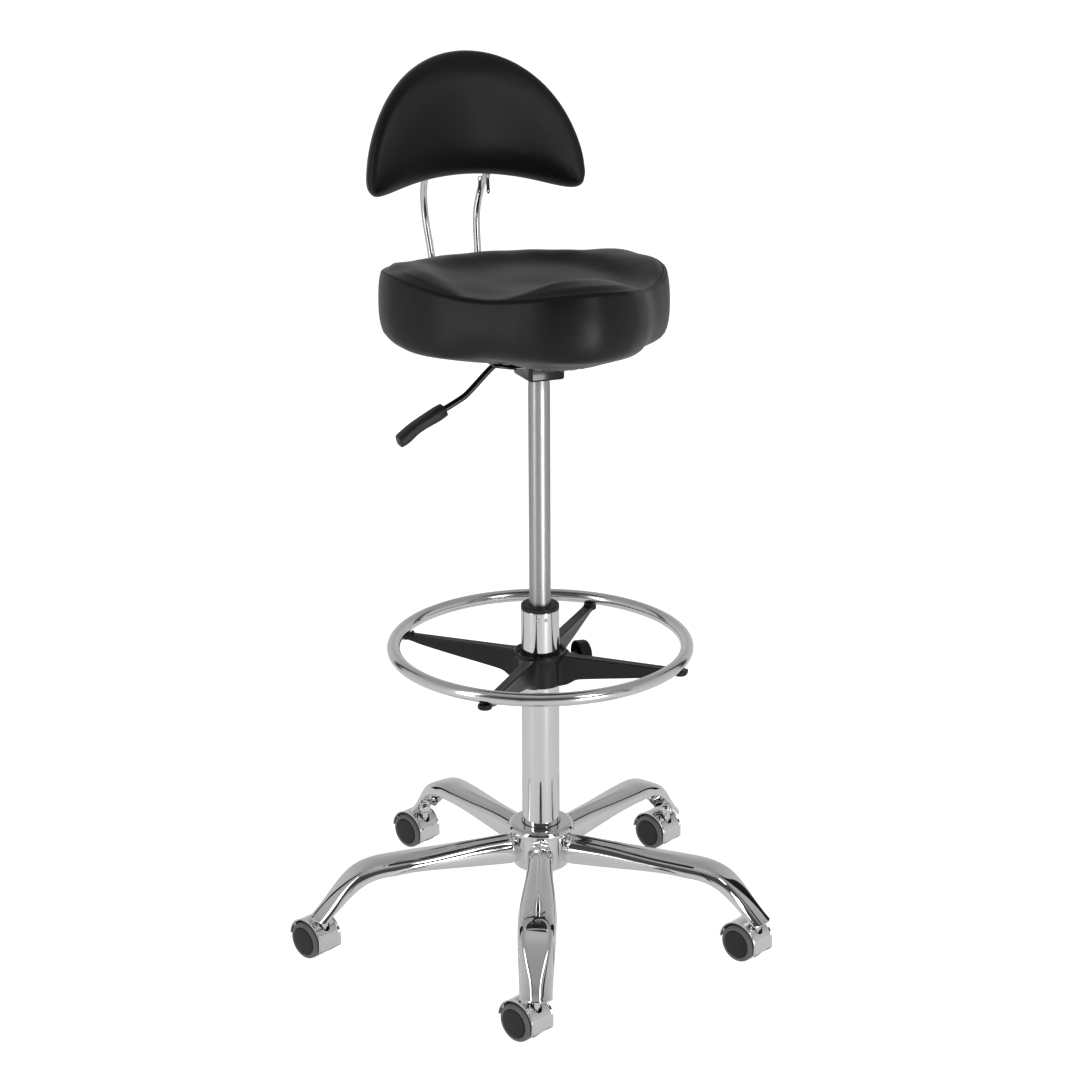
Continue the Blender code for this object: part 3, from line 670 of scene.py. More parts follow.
def hood_piece(name, angle):
    """Pressed hood: a sheet bent over both wheels, its side rims rolled outward to a bright lip."""
    R = 29.5
    half = 19.0
    # across the axle: rolled lip, then flat
    across = []
    for s in (-1, 1):
        side = [(s * half, 0.55), (s * (half - 0.05), 0.95), (s * (half - 0.45), 1.15), (s * (half - 1.0), 1.0),
                (s * (half - 1.6), 0.55), (s * (half - 2.4), 0.15), (s * (half - 4.0), 0.0)]
        across += side if s < 0 else list(reversed(side))
    outer, inner = [], []
    profile = across[:7] + [(-8, 0), (0, 0), (8, 0)] + across[7:]
    sec = hood_section(R - 0.6)
    n = len(sec)
    normals = []
    for k in range(n):
        a, b = np.array(sec[max(0, k - 1)]), np.array(sec[min(n - 1, k + 1)])
        d = b - a
        d /= np.linalg.norm(d)
        normals.append(np.array([-d[1], d[0]]))
    # outward is away from the axle
    for k in range(n):
        if np.dot(normals[k], np.array(sec[k]) - np.array([TRAIL, AXLE_Z])) < 0:
            normals[k] = -normals[k]
    rows = []
    for k in range(n):
        p = np.array(sec[k])
        top = [(x, *(p + normals[k] * e)) for x, e in profile]
        under = [(x, *(p + normals[k] * (-1.0 if abs(x) < half - 1.2 else -0.55))) for x, e in reversed(profile)]
        rows.append([(q[0], q[1], q[2]) for q in top + under])
    # close the two ends of the strip
    v, f = grid(rows, closed_v=True, cap=True)
    v = to_caster(v, angle)
    return make(name, v, f, "chrome", "", "chrome")


before = len(PIECES)
for i in range(1):
    n = i + 1
    angle = LEG_FIRST + 72 * i
    body = f"caster_{n}"
    hood = hood_piece(f"hood_{n}", angle)
    hood["look_body"] = body
    hood["look_for"] = [f"caster_hood_{n}"]
    bevel(hood, 0.25, 2, 50)
    apply_all(hood)
    c = to_caster([(0, 0, 0)], angle)[0]
    # round notch at the stem, dark inside
    cutter = lathe("notch_cut", [(0, 90), (7.6, 90), (7.6, 40.0), (0, 40.0)], 48, "web", body, "chrome", centre=(c[0], c[1], 0))
    boolean(hood, cutter)
    drop(cutter)
    shade_by_angle(hood, 38)
    # black web between the wheels, with the stem's boss
    outline = [(TRAIL - 9, AXLE_Z - 10.5), (TRAIL - 2, AXLE_Z - 13), (TRAIL + 6, AXLE_Z - 12), (TRAIL + 11, AXLE_Z - 6)]
    outline += [(TRAIL + 27.6 * math.cos(rad(a)), AXLE_Z + 27.6 * math.sin(rad(a))) for a in range(6, 170, 8)]
    outline = rounded(outline, 1.5, 3, True)
    rows = []
    for x, shrink in ((-5.6, 0.985), (-5.2, 1.0), (5.2, 1.0), (5.6, 0.985)):
        mid = np.mean(np.array(outline), axis=0)
        rows.append([(x, *(mid + (np.array(p) - mid) * shrink)) for p in outline])
    v, f = grid(rows, cap=True)
    web = make(f"caster_web_{n}", to_caster(v, angle), f, "web", body, "black_plastic")
    cutter = lathe("stem_cut", [(0, 90), (6.9, 90), (6.9, 41.0), (4.3, 38.0), (4.3, 29), (0, 29)], 40, "web", body, "chrome",
                   centre=(c[0], c[1], 0))
    boolean(web, cutter)
    drop(cutter)
    axle_dir = Vector(turn_z([(1, 0, 0)], HEADING)[0])
    a = to_caster([(0, TRAIL, AXLE_Z)], angle)[0]
    cutter = lathe("axle_cut", [(0, -30), (4.3, -30), (4.3, 30), (0, 30)], 32, "web", body, "chrome", centre=a, axis=axle_dir)
    boolean(web, cutter)
    drop(cutter)
    shade_by_angle(web, 35)
    # stem: post, collar and the ball-shaped top that snaps into the socket
    lathe(f"stem_{n}", [
        (0, 68.4), (4.6, 68.4), (5.6, 67.0), (5.6, 57.0), (8.3, 56.6), (8.4, 55.2), (5.8, 54.8), (5.7, 46.2), (3.9, 45.8),
        (3.9, 30.4), (0, 30.4),
    ], 48, "chrome", body, "chrome", centre=(c[0], c[1], 0), radius=0.35, n=2, stands_for=(f"caster_stem_{n}",))
    for s, word in ((-1, "left"), (1, "right")):
        wheel_body = f"wheel_{n}_{word}"
        d = axle_dir * s
        # core: hub cap slightly domed with a shallow ring groove, barrel, inner face
        lathe(f"wheel_core_{n}_{word}", [
            (0, 23.1), (6, 23.05), (12, 22.85), (16.6, 22.5), (17.9, 22.1), (18.4, 21.4), (18.6, 20.6), (19.6, 20.3), (20.3, 20.2),
            (20.3, 7.2), (9.5, 7.2), (9.0, 6.9), (4.4, 6.9), (4.4, 17.6), (0, 17.6),
        ], 96, "wheel", wheel_body, "wheel_plastic", centre=a, axis=d, radius=0.4, n=2,
            stands_for=(f"caster_{n}_wheel_{word}",))
        lathe(f"tyre_{n}_{word}", [
            (20.4, 19.6), (18.9, 20.5), (18.9, 21.4), (19.6, 22.1), (21.0, 22.3), (22.6, 21.8), (23.9, 20.7), (24.7, 19.3), (25.0, 17.6),
            (25.0, 9.2), (24.5, 8.0), (23.6, 7.4), (20.4, 7.4),
        ], 96, "tyre", wheel_body, "tyre", centre=a, axis=d, closed=True, radius=0.5, n=3,
            stands_for=(f"caster_{n}_tyre_{word}",))

first_at = Vector(to_caster([(0, 0, 0)], LEG_FIRST)[0])
SHIFTS = [Matrix.Translation((Vector(to_caster([(0, 0, 0)], LEG_FIRST + 72 * k)[0]) - first_at) * 0.001) for k in range(1, 5)]
copies(PIECES[before:], SHIFTS, lambda nm, k: nm.replace("_1", f"_{k + 2}"))

# ------------------------------------------------------------------ foot ring
RING_R, RING_TUBE, RING_Z = 191.5, 8.5, 409.4
rows = []
for k in range(288):
    a = 2 * math.pi * k / 288
    rows.append([((RING_R + RING_TUBE * math.cos(2 * math.pi * j / 40)) * math.cos(a),
                  (RING_R + RING_TUBE * math.cos(2 * math.pi * j / 40)) * math.sin(a),
                  RING_Z + RING_TUBE * math.sin(2 * math.pi * j / 40)) for j in range(40)])
v, f = grid(rows, closed_u=True)
ring = make("foot_ring_tube", v, f, "ring", "foot_rest", "chrome", stands_for=("foot_ring",))

ARM_TOP = 400.3
spider = lathe("spider_hub", [
    (25.7, 397.6), (29.8, 397.2), (30.6, 398.4), (31.4, 401.2), (32.3, 402), (34.4, 402), (35.2, 401), (35.2, 396.4),
    (32.6, 392.5), (31.2, 388), (30.6, 380), (30.2, 366), (30.0, 358.2), (29.0, 357), (25.7, 357),
], 160, "nylon", "foot_rest", "black_plastic", closed=True, radius=0.5, n=2, stands_for=("foot_ring_spider",))

ARM_ROWS = [  # distance, low z, half width at the top, half width low
    (27.0, 357.6, 12.5, 11.5), (30.5, 357.6, 11.2, 10.2), (33.5, 358.0, 9.4, 8.0), (37.0, 358.9, 8.4, 6.9), (41.0, 360.5, 7.9, 6.3),
    (45.0, 363.2, 7.6, 6.0), (48.5, 366.0, 7.4, 5.8), (53.0, 368.1, 7.3, 5.6), (60.0, 369.5, 7.2, 5.5), (90.0, 374.3, 6.9, 5.3),
    (120.0, 378.8, 6.6, 5.1), (150.0, 383.8, 6.3, 4.9), (170.0, 387.4, 6.1, 4.8), (179.0, 390.0, 6.3, 5.2), (184.0, 392.0, 7.2, 6.4),
    (191.5, 393.4, 8.2, 7.6), (197.0, 393.4, 7.6, 6.8), (200.2, 394.0, 6.0, 5.2), (201.4, 395.2, 4.8, 4.0),
]
for k in range(4):
    rows = []
    for d, lo, ht, hl in ARM_ROWS:
        t = ARM_TOP - 0.2
        flange = 3.2                      # top flange, a little wider than the web below it
        shoulder = max(lo + 2.0, t - flange)
        neck = max(lo + 1.4, shoulder - 2.2)
        half = [(0, t - 0.35), (ht * 0.5, t - 0.15), (ht - 1.3, t), (ht - 0.4, t - 0.35), (ht, t - 1.2), (ht, shoulder + 0.4),
                (ht - 0.35, shoulder - 0.4), (ht - 1.0, neck), (max(hl, ht - 1.8) * 0.5 + hl * 0.5, (neck + lo) / 2),
                (hl, lo + 2.2), (hl - 0.3, lo + 0.8), (hl - 1.2, lo), (hl * 0.4, lo)]
        ring_pts = [(d, y, z) for y, z in half] + [(d, -y, z) for y, z in reversed(half[1:])]
        rows.append(ring_pts)
    # toes under the ring's tube lift a cradle against it
    v, f = grid(rows, cap=True)
    angle = 46.5 + 90 * k
    arm = make(f"spider_arm_{k + 1}", turn_z(v, angle), f, "nylon", "foot_rest", "black_plastic")
    subdivide(arm, 1)
    apply_all(arm)
    shade_by_angle(arm, 45)
    # a saddle lip that holds the ring, on the inside of its tube
    c = turn_z([(RING_R, 0, 0)], angle)[0]
    for s, d0 in ((-1, RING_R - 8.2), (1, RING_R + 7.0)):
        rows = []
        for e, hw, top in ((-1.6, 5.2, 402.2), (-0.9, 5.8, 403.6), (0.5, 5.8, 404.1), (1.4, 5.2, 403.0)):
            x = d0 + e * (1 if s < 0 else -1)
            rows.append([(x, -hw, 396.5), (x, hw, 396.5), (x, hw, top - 1.0), (x, hw - 1.0, top), (x, -hw + 1.0, top), (x, -hw, top - 1.0)])
        v, f = grid(rows, cap=True)
        if s < 0:
            lip = make(f"spider_lip_{k + 1}", turn_z(v, angle), f, "nylon", "foot_rest", "black_plastic")
            subdivide(lip, 1)
            apply_all(lip)
    # screw cap under each arm's end
    lathe(f"ring_cap_{k + 1}", [
        (0, 393.2), (3.2, 393.2), (3.5, 393.8), (5.4, 393.8), (7.8, 392.8), (9.0, 393.8), (9.2, 397.2), (8.6, 398.2), (0, 398.2),
    ], 56, "nylon", "foot_rest", "black_plastic", centre=(c[0], c[1], 0), radius=0.5, n=2)

# boss for the clamp screw
KNOB_ANGLE, KNOB_Z = 1.5, 387.0
knob_dir = Vector(turn_z([(1, 0, 0)], KNOB_ANGLE)[0])
lathe("spider_boss", [
    (4.5, 27.5), (9.6, 27.5), (9.4, 31), (9.1, 38.8), (8.3, 40.0), (5.2, 40.0), (4.5, 39.4),
], 56, "nylon", "foot_rest", "black_plastic", centre=(0, 0, KNOB_Z), axis=knob_dir, closed=True, radius=0.4, n=2)
knob = lathe("clamp_knob", [
    (0, 68.4), (6, 68.6), (11.5, 68.9), (14.2, 68.7), (16.6, 67.4), (17.6, 65.0), (18.4, 53.2), (18.1, 52.1), (17.2, 51.8),
    (16.2, 52.2), (15.9, 53.2), (14.7, 61.8), (7.6, 62.0), (7.1, 51.2), (4.0, 51.0),
], 160, "nylon", "foot_knob", "black_plastic", centre=(0, 0, KNOB_Z), axis=knob_dir, radius=0.6, n=2,
    stands_for=("foot_ring_knob",))
# shallow grip flutes round the knob's skirt
kc = W(0, 0, KNOB_Z)
kx, ky, kz = basis(knob_dir)
for vert in knob.data.vertices:
    p = vert.co - kc
    h = p.dot(kz) * 1000
    r = (p - kz * p.dot(kz))
    rl = r.length * 1000
    if rl > 16.4 and 53.0 < h < 67.2:
        a = math.atan2(r.dot(ky), r.dot(kx))
        dent = 0.55 * max(0.0, math.cos(12 * a)) ** 2 * ease(h, 53, 56) * (1 - ease(h, 63.5, 67))
        vert.co -= r.normalized() * dent * 0.001
lathe("clamp_screw", [(0, 51.2), (3.9, 51.2), (3.9, 26.6), (3.3, 25.9), (0, 25.9)], 40, "zinc", "foot_knob", "black_plastic",
      centre=(0, 0, KNOB_Z), axis=knob_dir, radius=0.2, n=2)

# ------------------------------------------------------- gas lift, mechanism
lathe("gas_tube", [
    (0, 776), (3.4, 776), (3.4, 781), (12.4, 781), (13.1, 770), (14.0, 757), (14.0, 391.0), (13.0, 390.0), (5.4, 390.0),
    (5.4, 402), (11.8, 402), (11.8, 755), (0, 755),
], 160, "satin", "seat_frame", "satin_steel", radius=[0, 0.2, 0.2, 0.5, 1, 3, 0.5, 0.5, 0.3, 0.3, 0.3, 0.3, 0], n=3,
    stands_for=("gas_cylinder",))


def rounded_rect(hx, hy, r, n=6):
    pts = []
    for cx, cy, a0 in ((hx - r, hy - r, 0), (-hx + r, hy - r, 90), (-hx + r, -hy + r, 180), (hx - r, -hy + r, 270)):
        for k in range(n + 1):
            a = rad(a0 + 90 * k / n)
            pts.append((cx + r * math.cos(a), cy + r * math.sin(a)))
    return pts


rows = []
BX, BY, BB, BT = 24.0, 28.5, 770.0, 797.5
for inset, z, r in ((2.6, BB - 0.3, 3.5), (1.5, BB - 0.15, 4.0), (0.75, BB + 0.3, 4.2), (0.25, BB + 1.0, 4.4), (0.05, BB + 1.9, 4.5),
                    (0.0, BB + 3.2, 4.5), (0.0, BT - 2.2, 4.5), (-0.7, BT - 0.9, 4.8), (-2.0, BT + 0.2, 5.2)):
    rows.append([(x, y, z) for x, y in rounded_rect(BX - inset, BY - inset, r)])
v, f = grid(rows, cap=True)
box = make("mechanism_box", v, f, "black_steel", "seat_frame", "black_steel", stands_for=("seat_mechanism",))
rows = []
for inset, z, r in ((2.0, 779, 3), (2.0, BT + 2.0, 3)):
    rows.append([(x, y, z) for x, y in rounded_rect(BX - inset, BY - inset, r)])
v, f = grid(rows, cap=True)
hollow = make("box_hollow", v, f, "black_steel", "seat_frame", "black_steel")
taper = lathe("box_taper", [(0, 760), (14.4, 760), (14.4, 785), (0, 785)], 64, "black_steel", "seat_frame", "black_steel", smooth=False)
rows = [[(x, y, z) for y, z in rounded([(-5.2, 782.5), (5.2, 782.5), (5.2, 799), (-5.2, 799)], 1.6, 3, True)] for x in (-40, -15)]
v, f = grid(rows, cap=True)
slot = make("box_slot", v, f, "black_steel", "seat_frame", "black_steel")
for c in (hollow, taper, slot):
    boolean(box, c)
    drop(c)
bevel(box, 0.45, 2, 40)
apply_all(box)
shade_by_angle(box, 38)

# top plate with clipped corners and the lever's notch
outline = [(-24.6, -7), (-24.6, 7), (-75, 7), (-75, 42), (-58, 60), (58, 60), (75, 42), (75, -42), (58, -60), (-58, -60), (-75, -42),
           (-75, -7)]
outline = rounded(outline, [0.8, 0.8, 1.5, 5, 5, 5, 5, 5, 5, 5, 5, 1.5], 4, True)
bm = bmesh.new()
vs = [bm.verts.new(W(x, y, 797.0)) for x, y in outline]
face = bm.faces.new(vs)
ext = bmesh.ops.extrude_face_region(bm, geom=[face])
for e in ext["geom"]:
    if isinstance(e, bmesh.types.BMVert):
        e.co.z += 0.003
bmesh.ops.recalc_face_normals(bm, faces=bm.faces)
me = bpy.data.meshes.new("mechanism_plate")
bm.to_mesh(me)
bm.free()
plate = bpy.data.objects.new("mechanism_plate", me)
SCENE.collection.objects.link(plate)
me.materials.append(MATS["black_steel"])
plate["look_body"], plate["look_slot"] = "seat_frame", "black_steel"
PIECES.append(plate)
bevel(plate, 0.5, 3, 40)
apply_all(plate)
shade_by_angle(plate, 38)
# welds along the box, and the four screws that hold the plate to the board
for s in (-1, 1):
    path = catmull([(-21, s * 29.3, 796.4), (-8, s * 29.5, 796.2), (6, s * 29.2, 796.5), (20, s * 29.4, 796.3)], 8)
    radii = [1.5 + 0.35 * math.sin(i * 1.9) for i in range(len(path))]
    sweep(f"box_weld_{'front' if s < 0 else 'rear'}", path, radii, 14, "black_steel", "seat_frame", "black_steel")
for k, (x, y) in enumerate(((-23.2, -40.6), (23.2, -40.6), (-23.2, 40.6), (23.2, 40.6), (-62, -28), (62, -28), (-62, 28), (62, 28))):
    lathe(f"plate_screw_{k + 1}", [
        (0, 795.4), (1.6, 795.4), (1.7, 794.0), (2.6, 793.6), (4.6, 794.2), (5.7, 795.6), (5.9, 797.05), (0, 797.05),
    ], 40, "screw", "seat_frame", "black_steel", centre=(x, y, 0), radius=0.3, n=2)
    # a small round recess is left in the head by the lathe

# -------------------------------------------------------------------- lever
run = catmull([
    (5, 0, 790), (-16, 0, 790), (-38, 0, 790.4), (-50, 0, 791.8), (-58, 0, 790.8), (-66, 0, 785.2), (-92, 0, 761.0),
    (-100, 0, 754.4), (-110, 0, 748.8), (-128, 0, 739.9), (-143, 0, 732.5),
], 10)
sweep("lever_bar", run, 4.0, 32, "black_steel", "lever", "black_steel", stands_for=("lever_rod",))
GRIP = [
    (-127.2, 740.3, 7.6, 6.4, 26), (-127.7, 740.0, 8.4, 7.1, 26), (-129, 739.4, 8.9, 7.5, 26), (-137, 735.4, 10.0, 7.9, 26),
    (-146, 731.0, 9.9, 7.6, 26), (-156, 726.2, 9.6, 7.2, 26.5), (-164, 721.9, 9.6, 7.1, 30), (-171, 717.3, 9.7, 7.3, 36),
    (-177, 712.6, 9.8, 7.6, 37), (-181.5, 709.3, 9.8, 7.6, 30), (-184.9, 707.2, 9.8, 7.3, 21), (-187.4, 706.0, 9.7, 7.0, 14), (-188.2, 705.8, 9.3, 6.6, 14), (-188.6, 705.7, 8.6, 5.8, 14),
]
rows = []
sect = rounded([(-.66, 1), (.66, 1), (1, .52), (1, -.52), (.66, -1), (-.66, -1), (-1, -.52), (-1, .52)], 0.12, 2, True)
for x, z, hw, ht, lean in GRIP:
    up = Vector((-math.sin(rad(lean)), 0, math.cos(rad(lean))))
    rows.append([Vector((x, 0, z)) + up * (ht * b) + Vector((0, hw * a, 0)) for a, b in sect])
v, f = grid(rows, cap=True)
grip = make("lever_handle", v, f, "grip", "lever", "grip_plastic", stands_for=("lever_grip",))
bore = sweep("grip_bore", [Vector((-112, 0, 747.8)), Vector((-128, 0, 739.9)), Vector((-142, 0, 733))], 4.35, 32, "grip", "lever", "grip_plastic",
             end_round=False)
boolean(grip, bore)
drop(bore)
bevel(grip, 0.35, 2, 30)
apply_all(grip)
shade_by_angle(grip, 22)

# ------------------------------------------------------------- seat cushion
# (across, forward, height) of the seam, from the nose round to the back
SEAM = [(0, 176, 908.5), (45, 163, 904.5), (80, 133, 897.5), (106, 101, 892), (132, 71, 892), (157, 37, 896), (174, -5, 900),
        (179, -53, 900), (170, -103, 896), (142, -147, 892), (99, -177, 890), (49, -189, 891), (0, -191, 892)]
TOPS = [  # heights inside the seam, for the right half; the left is its mirror image
    (0, 158, 916.5), (0, 142, 918), (0, 126, 917.5), (0, 108, 913), (0, 88, 903.5), (0, 66, 894.5), (0, 40, 889),
    (28, 148, 915), (28, 130, 916.8), (28, 112, 913), (28, 88, 902.5), (28, 64, 893.5), (52, 138, 909.5), (53, 122, 909.5), (54, 103, 902.5),
    (55, 82, 895.5), (56, 58, 889.5), (74, 114, 900.5), (78, 96, 895.5), (80, 76, 890),
    (96, 92, 891.5), (104, 74, 890), (96, 56, 888.2), (118, 58, 891.5), (104, 34, 888), (126, 40, 894.5),
    (142, 36, 899.5), (150, 20, 903), (152, -5, 906), (151, -40, 907.5), (144, -76, 906.5), (128, -110, 903.5), (100, -139, 900),
    (55, -156, 898), (0, -161, 898), (132, 14, 898.5), (128, -10, 901), (126, -45, 902.5), (118, -80, 900), (98, -112, 894.5),
    (52, -130, 890.6), (0, -133, 890.2), (110, 8, 890.5), (106, -20, 891), (103, -50, 891), (94, -80, 889.5), (74, -102, 887.8),
    (36, -112, 887), (0, -114, 886.8), (0, 10, 886.6), (0, -30, 885.6), (0, -60, 885.4), (0, -90, 885.6), (45, 20, 886.8),
    (45, -20, 885.8), (45, -60, 885.4), (75, 30, 887.4), (78, 0, 886.9), (78, -40, 886.6), (70, -75, 886.4),
]
SEAT_ROLL = math.tan(rad(0.95))   # the seat sits a touch higher on the sitter's right


def both_sides(points):
    out = []
    for u, v, z in points:
        out.append((u, v, z))
        if abs(u) > 1e-6:
            out.append((-u, v, z))
    return np.array(out, float)


class Heights:
    """Thin-plate surface through scattered heights."""

    def __init__(self, pts, smooth=0.0):
        self.p = pts[:, :2] / 100.0
        n = len(pts)
        k = self.kernel(self.p, self.p) + np.eye(n) * smooth
        one = np.hstack([np.ones((n, 1)), self.p])
        a = np.zeros((n + 3, n + 3))
        a[:n, :n], a[:n, n:], a[n:, :n] = k, one, one.T
        self.w = np.linalg.solve(a, np.concatenate([pts[:, 2], [0, 0, 0]]))

    @staticmethod
    def kernel(a, b):
        d2 = ((a[:, None, :] - b[None, :, :]) ** 2).sum(2)
        return 0.5 * d2 * np.log(d2 + 1e-12)

    def __call__(self, uv):
        q = np.array(uv, float) / 100.0
        return self.kernel(q, self.p) @ self.w[:-3] + np.hstack([np.ones((len(q), 1)), q]) @ self.w[-3:]


NS = 384
seam_loop = SEAM + [(-u, v, z) for u, v, z in reversed(SEAM[1:-1])]
seam = resample(catmull(seam_loop, 24, True), NS, True)
CENTRE = np.array([0.0, -5.0])
tangent = np.roll(seam[:, :2], -1, axis=0) - np.roll(seam[:, :2], 1, axis=0)
tangent /= np.linalg.norm(tangent, axis=1)[:, None]
outward = np.stack([-tangent[:, 1], tangent[:, 0]], axis=1)
radial = seam[:, :2] - CENTRE
reach = np.linalg.norm(radial, axis=1)
radial = radial / reach[:, None]
outward *= np.sign((outward * radial).sum(1))[:, None]
for _ in range(3):
    outward = (np.roll(outward, 1, axis=0) + 2 * outward + np.roll(outward, -1, axis=0))
    outward /= np.linalg.norm(outward, axis=1)[:, None]

ring12 = np.column_stack([seam[:, :2] - radial * 11.0, seam[:, 2] + 3.2])[::12]
spun = both_sides(TOPS)
ring12 = ring12[[min(math.dist(p[:2], q[:2]) for q in spun) > 24.0 for p in ring12]]
heights = Heights(np.vstack([spun, ring12]), 0.004)

def round_loop(values, perimeter, sigma):
    """Gaussian smoothing of values along a closed loop; sigma and perimeter in the same unit."""
    k = np.arange(len(values) // 2 + 1)
    keep = np.exp(-(2 * math.pi * k * sigma / max(perimeter, 1e-6)) ** 2 / 2)
    f = np.fft.rfft(values, axis=0)
    return np.fft.irfft(f * (keep if values.ndim == 1 else keep[:, None]), len(values), axis=0)


def loop_length(p):
    return float(np.linalg.norm(np.roll(p, -1, axis=0) - p, axis=1).sum())


rows = []
tops = [1.0] + [1 - d / 172.0 for d in (1.5, 3.2, 5.5, 8.5, 12, 16, 20.5, 25.5, 31, 37, 43, 49.5, 56, 63, 70, 77.5, 85, 93, 101, 109, 117, 125,
                                       133, 141, 149, 156, 162)]
top_rows = []
for t in tops:
    uv = CENTRE + (seam[:, :2] - CENTRE) * t
    d = (1 - t) * reach
    roll = seam[:, 2] + 2.7 * np.sqrt(np.clip(d / 9.0, 0, 1)) * (1 - 0.0 * d)
    h = round_loop(heights(uv), loop_length(uv), 11.0 + 5.0 * float(np.clip((0.8 - t) / 0.3, 0, 1)))
    w = np.clip((d - 5.0) / 9.0, 0, 1)
    w = w * w * (3 - 2 * w)
    z = roll * (1 - w) + h * w - uv[:, 0] * SEAT_ROLL
    top_rows.append(np.column_stack([uv[:, 0], -uv[:, 1], z]))

SIDE = [(0.9, .010), (1.9, .034), (2.9, .075), (3.9, .13), (4.6, .20), (5.1, .28), (5.4, .37), (5.4, .46), (5.2, .55), (4.4, .635), (3.0, .715),
        (0.8, .785), (-3.4, .838), (-9.5, .872), (-17, .896), (-26, .916), (-38, .94), (-54, .972), (-68, 1.0), (-75.5, 1.0),
        (-77.2, 1.0)]
BOTTOM = 802.0
side_rows = []
for off, fr in SIDE:
    if off > 0:
        uv = seam[:, :2] + outward * off
    else:
        uv = seam[:, :2] + radial * off
    z = seam[:, 2] * (1 - fr) + BOTTOM * fr - seam[:, 0] * SEAT_ROLL * (1 if off > -20 else max(0.0, 1 + (off + 20) / 30))
    u, v = uv[:, 0].copy(), uv[:, 1].copy()
    # the nose's lower edge is set back a little
    near = np.clip((v - 95) / 60, 0, 1)
    near = near * near * (3 - 2 * near)
    v -= np.interp(fr, [0, .3, .46, .72, .85, .95, 1.0], [0, 0, .6, 2.4, 4, 5, 3]) * near
    z = z + np.interp(fr, [0, .3, .55, .8, .93, 1.0], [0, 0, 1.6, 5.6, 7.0, 3.0]) * near
    # the waist between the nose and each wing, deeper towards the bottom
    waist = np.exp(-((np.abs(seam[:, 0]) - 112) ** 2 + (seam[:, 1] - 92) ** 2) / (40.0 ** 2))
    pinch = waist * np.interp(fr, [0, .1, .3, .55, .8, .93, 1.0], [0, .6, 1.8, 2.6, 2.6, 2.2, 1])
    u -= outward[:, 0] * pinch
    v -= outward[:, 1] * pinch
    z = z + waist * np.interp(fr, [0, .3, .55, .8, .93, 1.0], [0, .4, 2.4, 5.0, 5.0, 0]) * np.where(seam[:, 0] < 0, 0.5, 0.7)
    flank = np.exp(-((seam[:, 0] + 96) ** 2 + (seam[:, 1] - 108) ** 2) / (56.0 ** 2))
    z = z + flank * np.interp(fr, [0, .35, .6, .8, .93, 1.0], [0, .3, 2.8, 5.6, 5.4, 0])
    # the left wing's lower corner is squarer
    wing = np.exp(-((seam[:, 0] + 168) ** 2 + (seam[:, 1] + 5) ** 2) / (66.0 ** 2))
    z = z - wing * np.interp(fr, [.6, .785, .87, .93, 1.0], [0, 1.8, 3.0, 1.0, 0])
    u = u + wing * np.interp(fr, [0, .1, .5, .7, .8, 1.0], [1.0, 1.6, 1.6, .6, -1.2, 0])
    side_rows.append(np.column_stack([u, -v, z]))
pocket = [np.column_stack([r[:, 0], r[:, 1], r[:, 2] * 0 + zz]) for r, zz in ((side_rows[-1], 803.0), (side_rows[-1] * [0.999, 0.999, 1], 811.6))]
all_rows = list(reversed(top_rows)) + side_rows + pocket
SEAM_ROW = len(top_rows) - 1
v, f = grid(all_rows, cap=True)
seat = make("seat_cover", v, f, "leather", "seat_frame", "cover", stands_for=("seat_cushion",))


def puff(o, hold, cap_mm, count, pressure=4.0, frames=20, stiff=28.0):
    """Cloth pressure swells a closed pad; hold is 0..1 per vertex, and cap_mm limits the move."""
    me = o.data
    rest = np.empty(len(me.vertices) * 3)
    me.vertices.foreach_get("co", rest)
    rest = rest.reshape(-1, 3)
    g = o.vertex_groups.new(name="hold")
    for i, w in enumerate(hold):
        if w > 0:
            g.add([i], float(w), "REPLACE")
    m = o.modifiers.new("Cloth", "CLOTH")
    s = m.settings
    s.quality = 5
    s.mass = 0.4
    s.tension_stiffness = s.compression_stiffness = stiff
    s.shear_stiffness = stiff * 0.5
    s.bending_stiffness = 1.5
    s.use_pressure = True
    s.uniform_pressure_force = pressure
    s.vertex_group_mass = "hold"
    s.pin_stiffness = 1.0
    s.effector_weights.gravity = 0.0
    m.collision_settings.use_collision = False
    m.collision_settings.use_self_collision = False
    m.point_cache.frame_start, m.point_cache.frame_end = 1, frames
    for fr in range(1, frames + 1):
        SCENE.frame_set(fr)
    deps = bpy.context.evaluated_depsgraph_get()
    ev = o.evaluated_get(deps).to_mesh()
    now = np.empty(len(ev.vertices) * 3)
    ev.vertices.foreach_get("co", now)
    now = now.reshape(-1, 3)
    o.evaluated_get(deps).to_mesh_clear()
    o.modifiers.clear()
    SCENE.frame_set(1)
    move = now - rest
    size = np.linalg.norm(move, axis=1)
    limit = cap_mm * 0.001
    # a soft limit, so that no flat plateau shows where the cap bites
    scale = np.where(size > 1e-9, limit * np.tanh(size / limit) / np.maximum(size, 1e-9), 0)
    move = move * scale[:, None]
    # the swelling is kept, and the fine star of creases round each pole is not
    loops = (len(rest) - 2) // count
    P, M = rest[:loops * count].reshape(loops, count, 3), move[:loops * count].reshape(loops, count, 3)
    for i in range(loops):
        M[i] = round_loop(M[i], loop_length(P[i]), 0.008)
    move[:loops * count] = M.reshape(-1, 3)
    move[-2], move[-1] = M[0].mean(0), M[-1].mean(0)
    print(f"puff {o.name}: largest move {size.max() * 1000:.1f} mm, kept {np.linalg.norm(move, axis=1).max() * 1000:.1f} mm")
    out = rest + move
    me.vertices.foreach_set("co", out.reshape(-1))
    me.update()
    o.vertex_groups.clear()
    return out


def smooth_noise(p, scale, seed=0.0):
    return noise.noise(Vector((p[0] * scale + seed, p[1] * scale - seed * 0.7, p[2] * scale + seed * 0.3)))


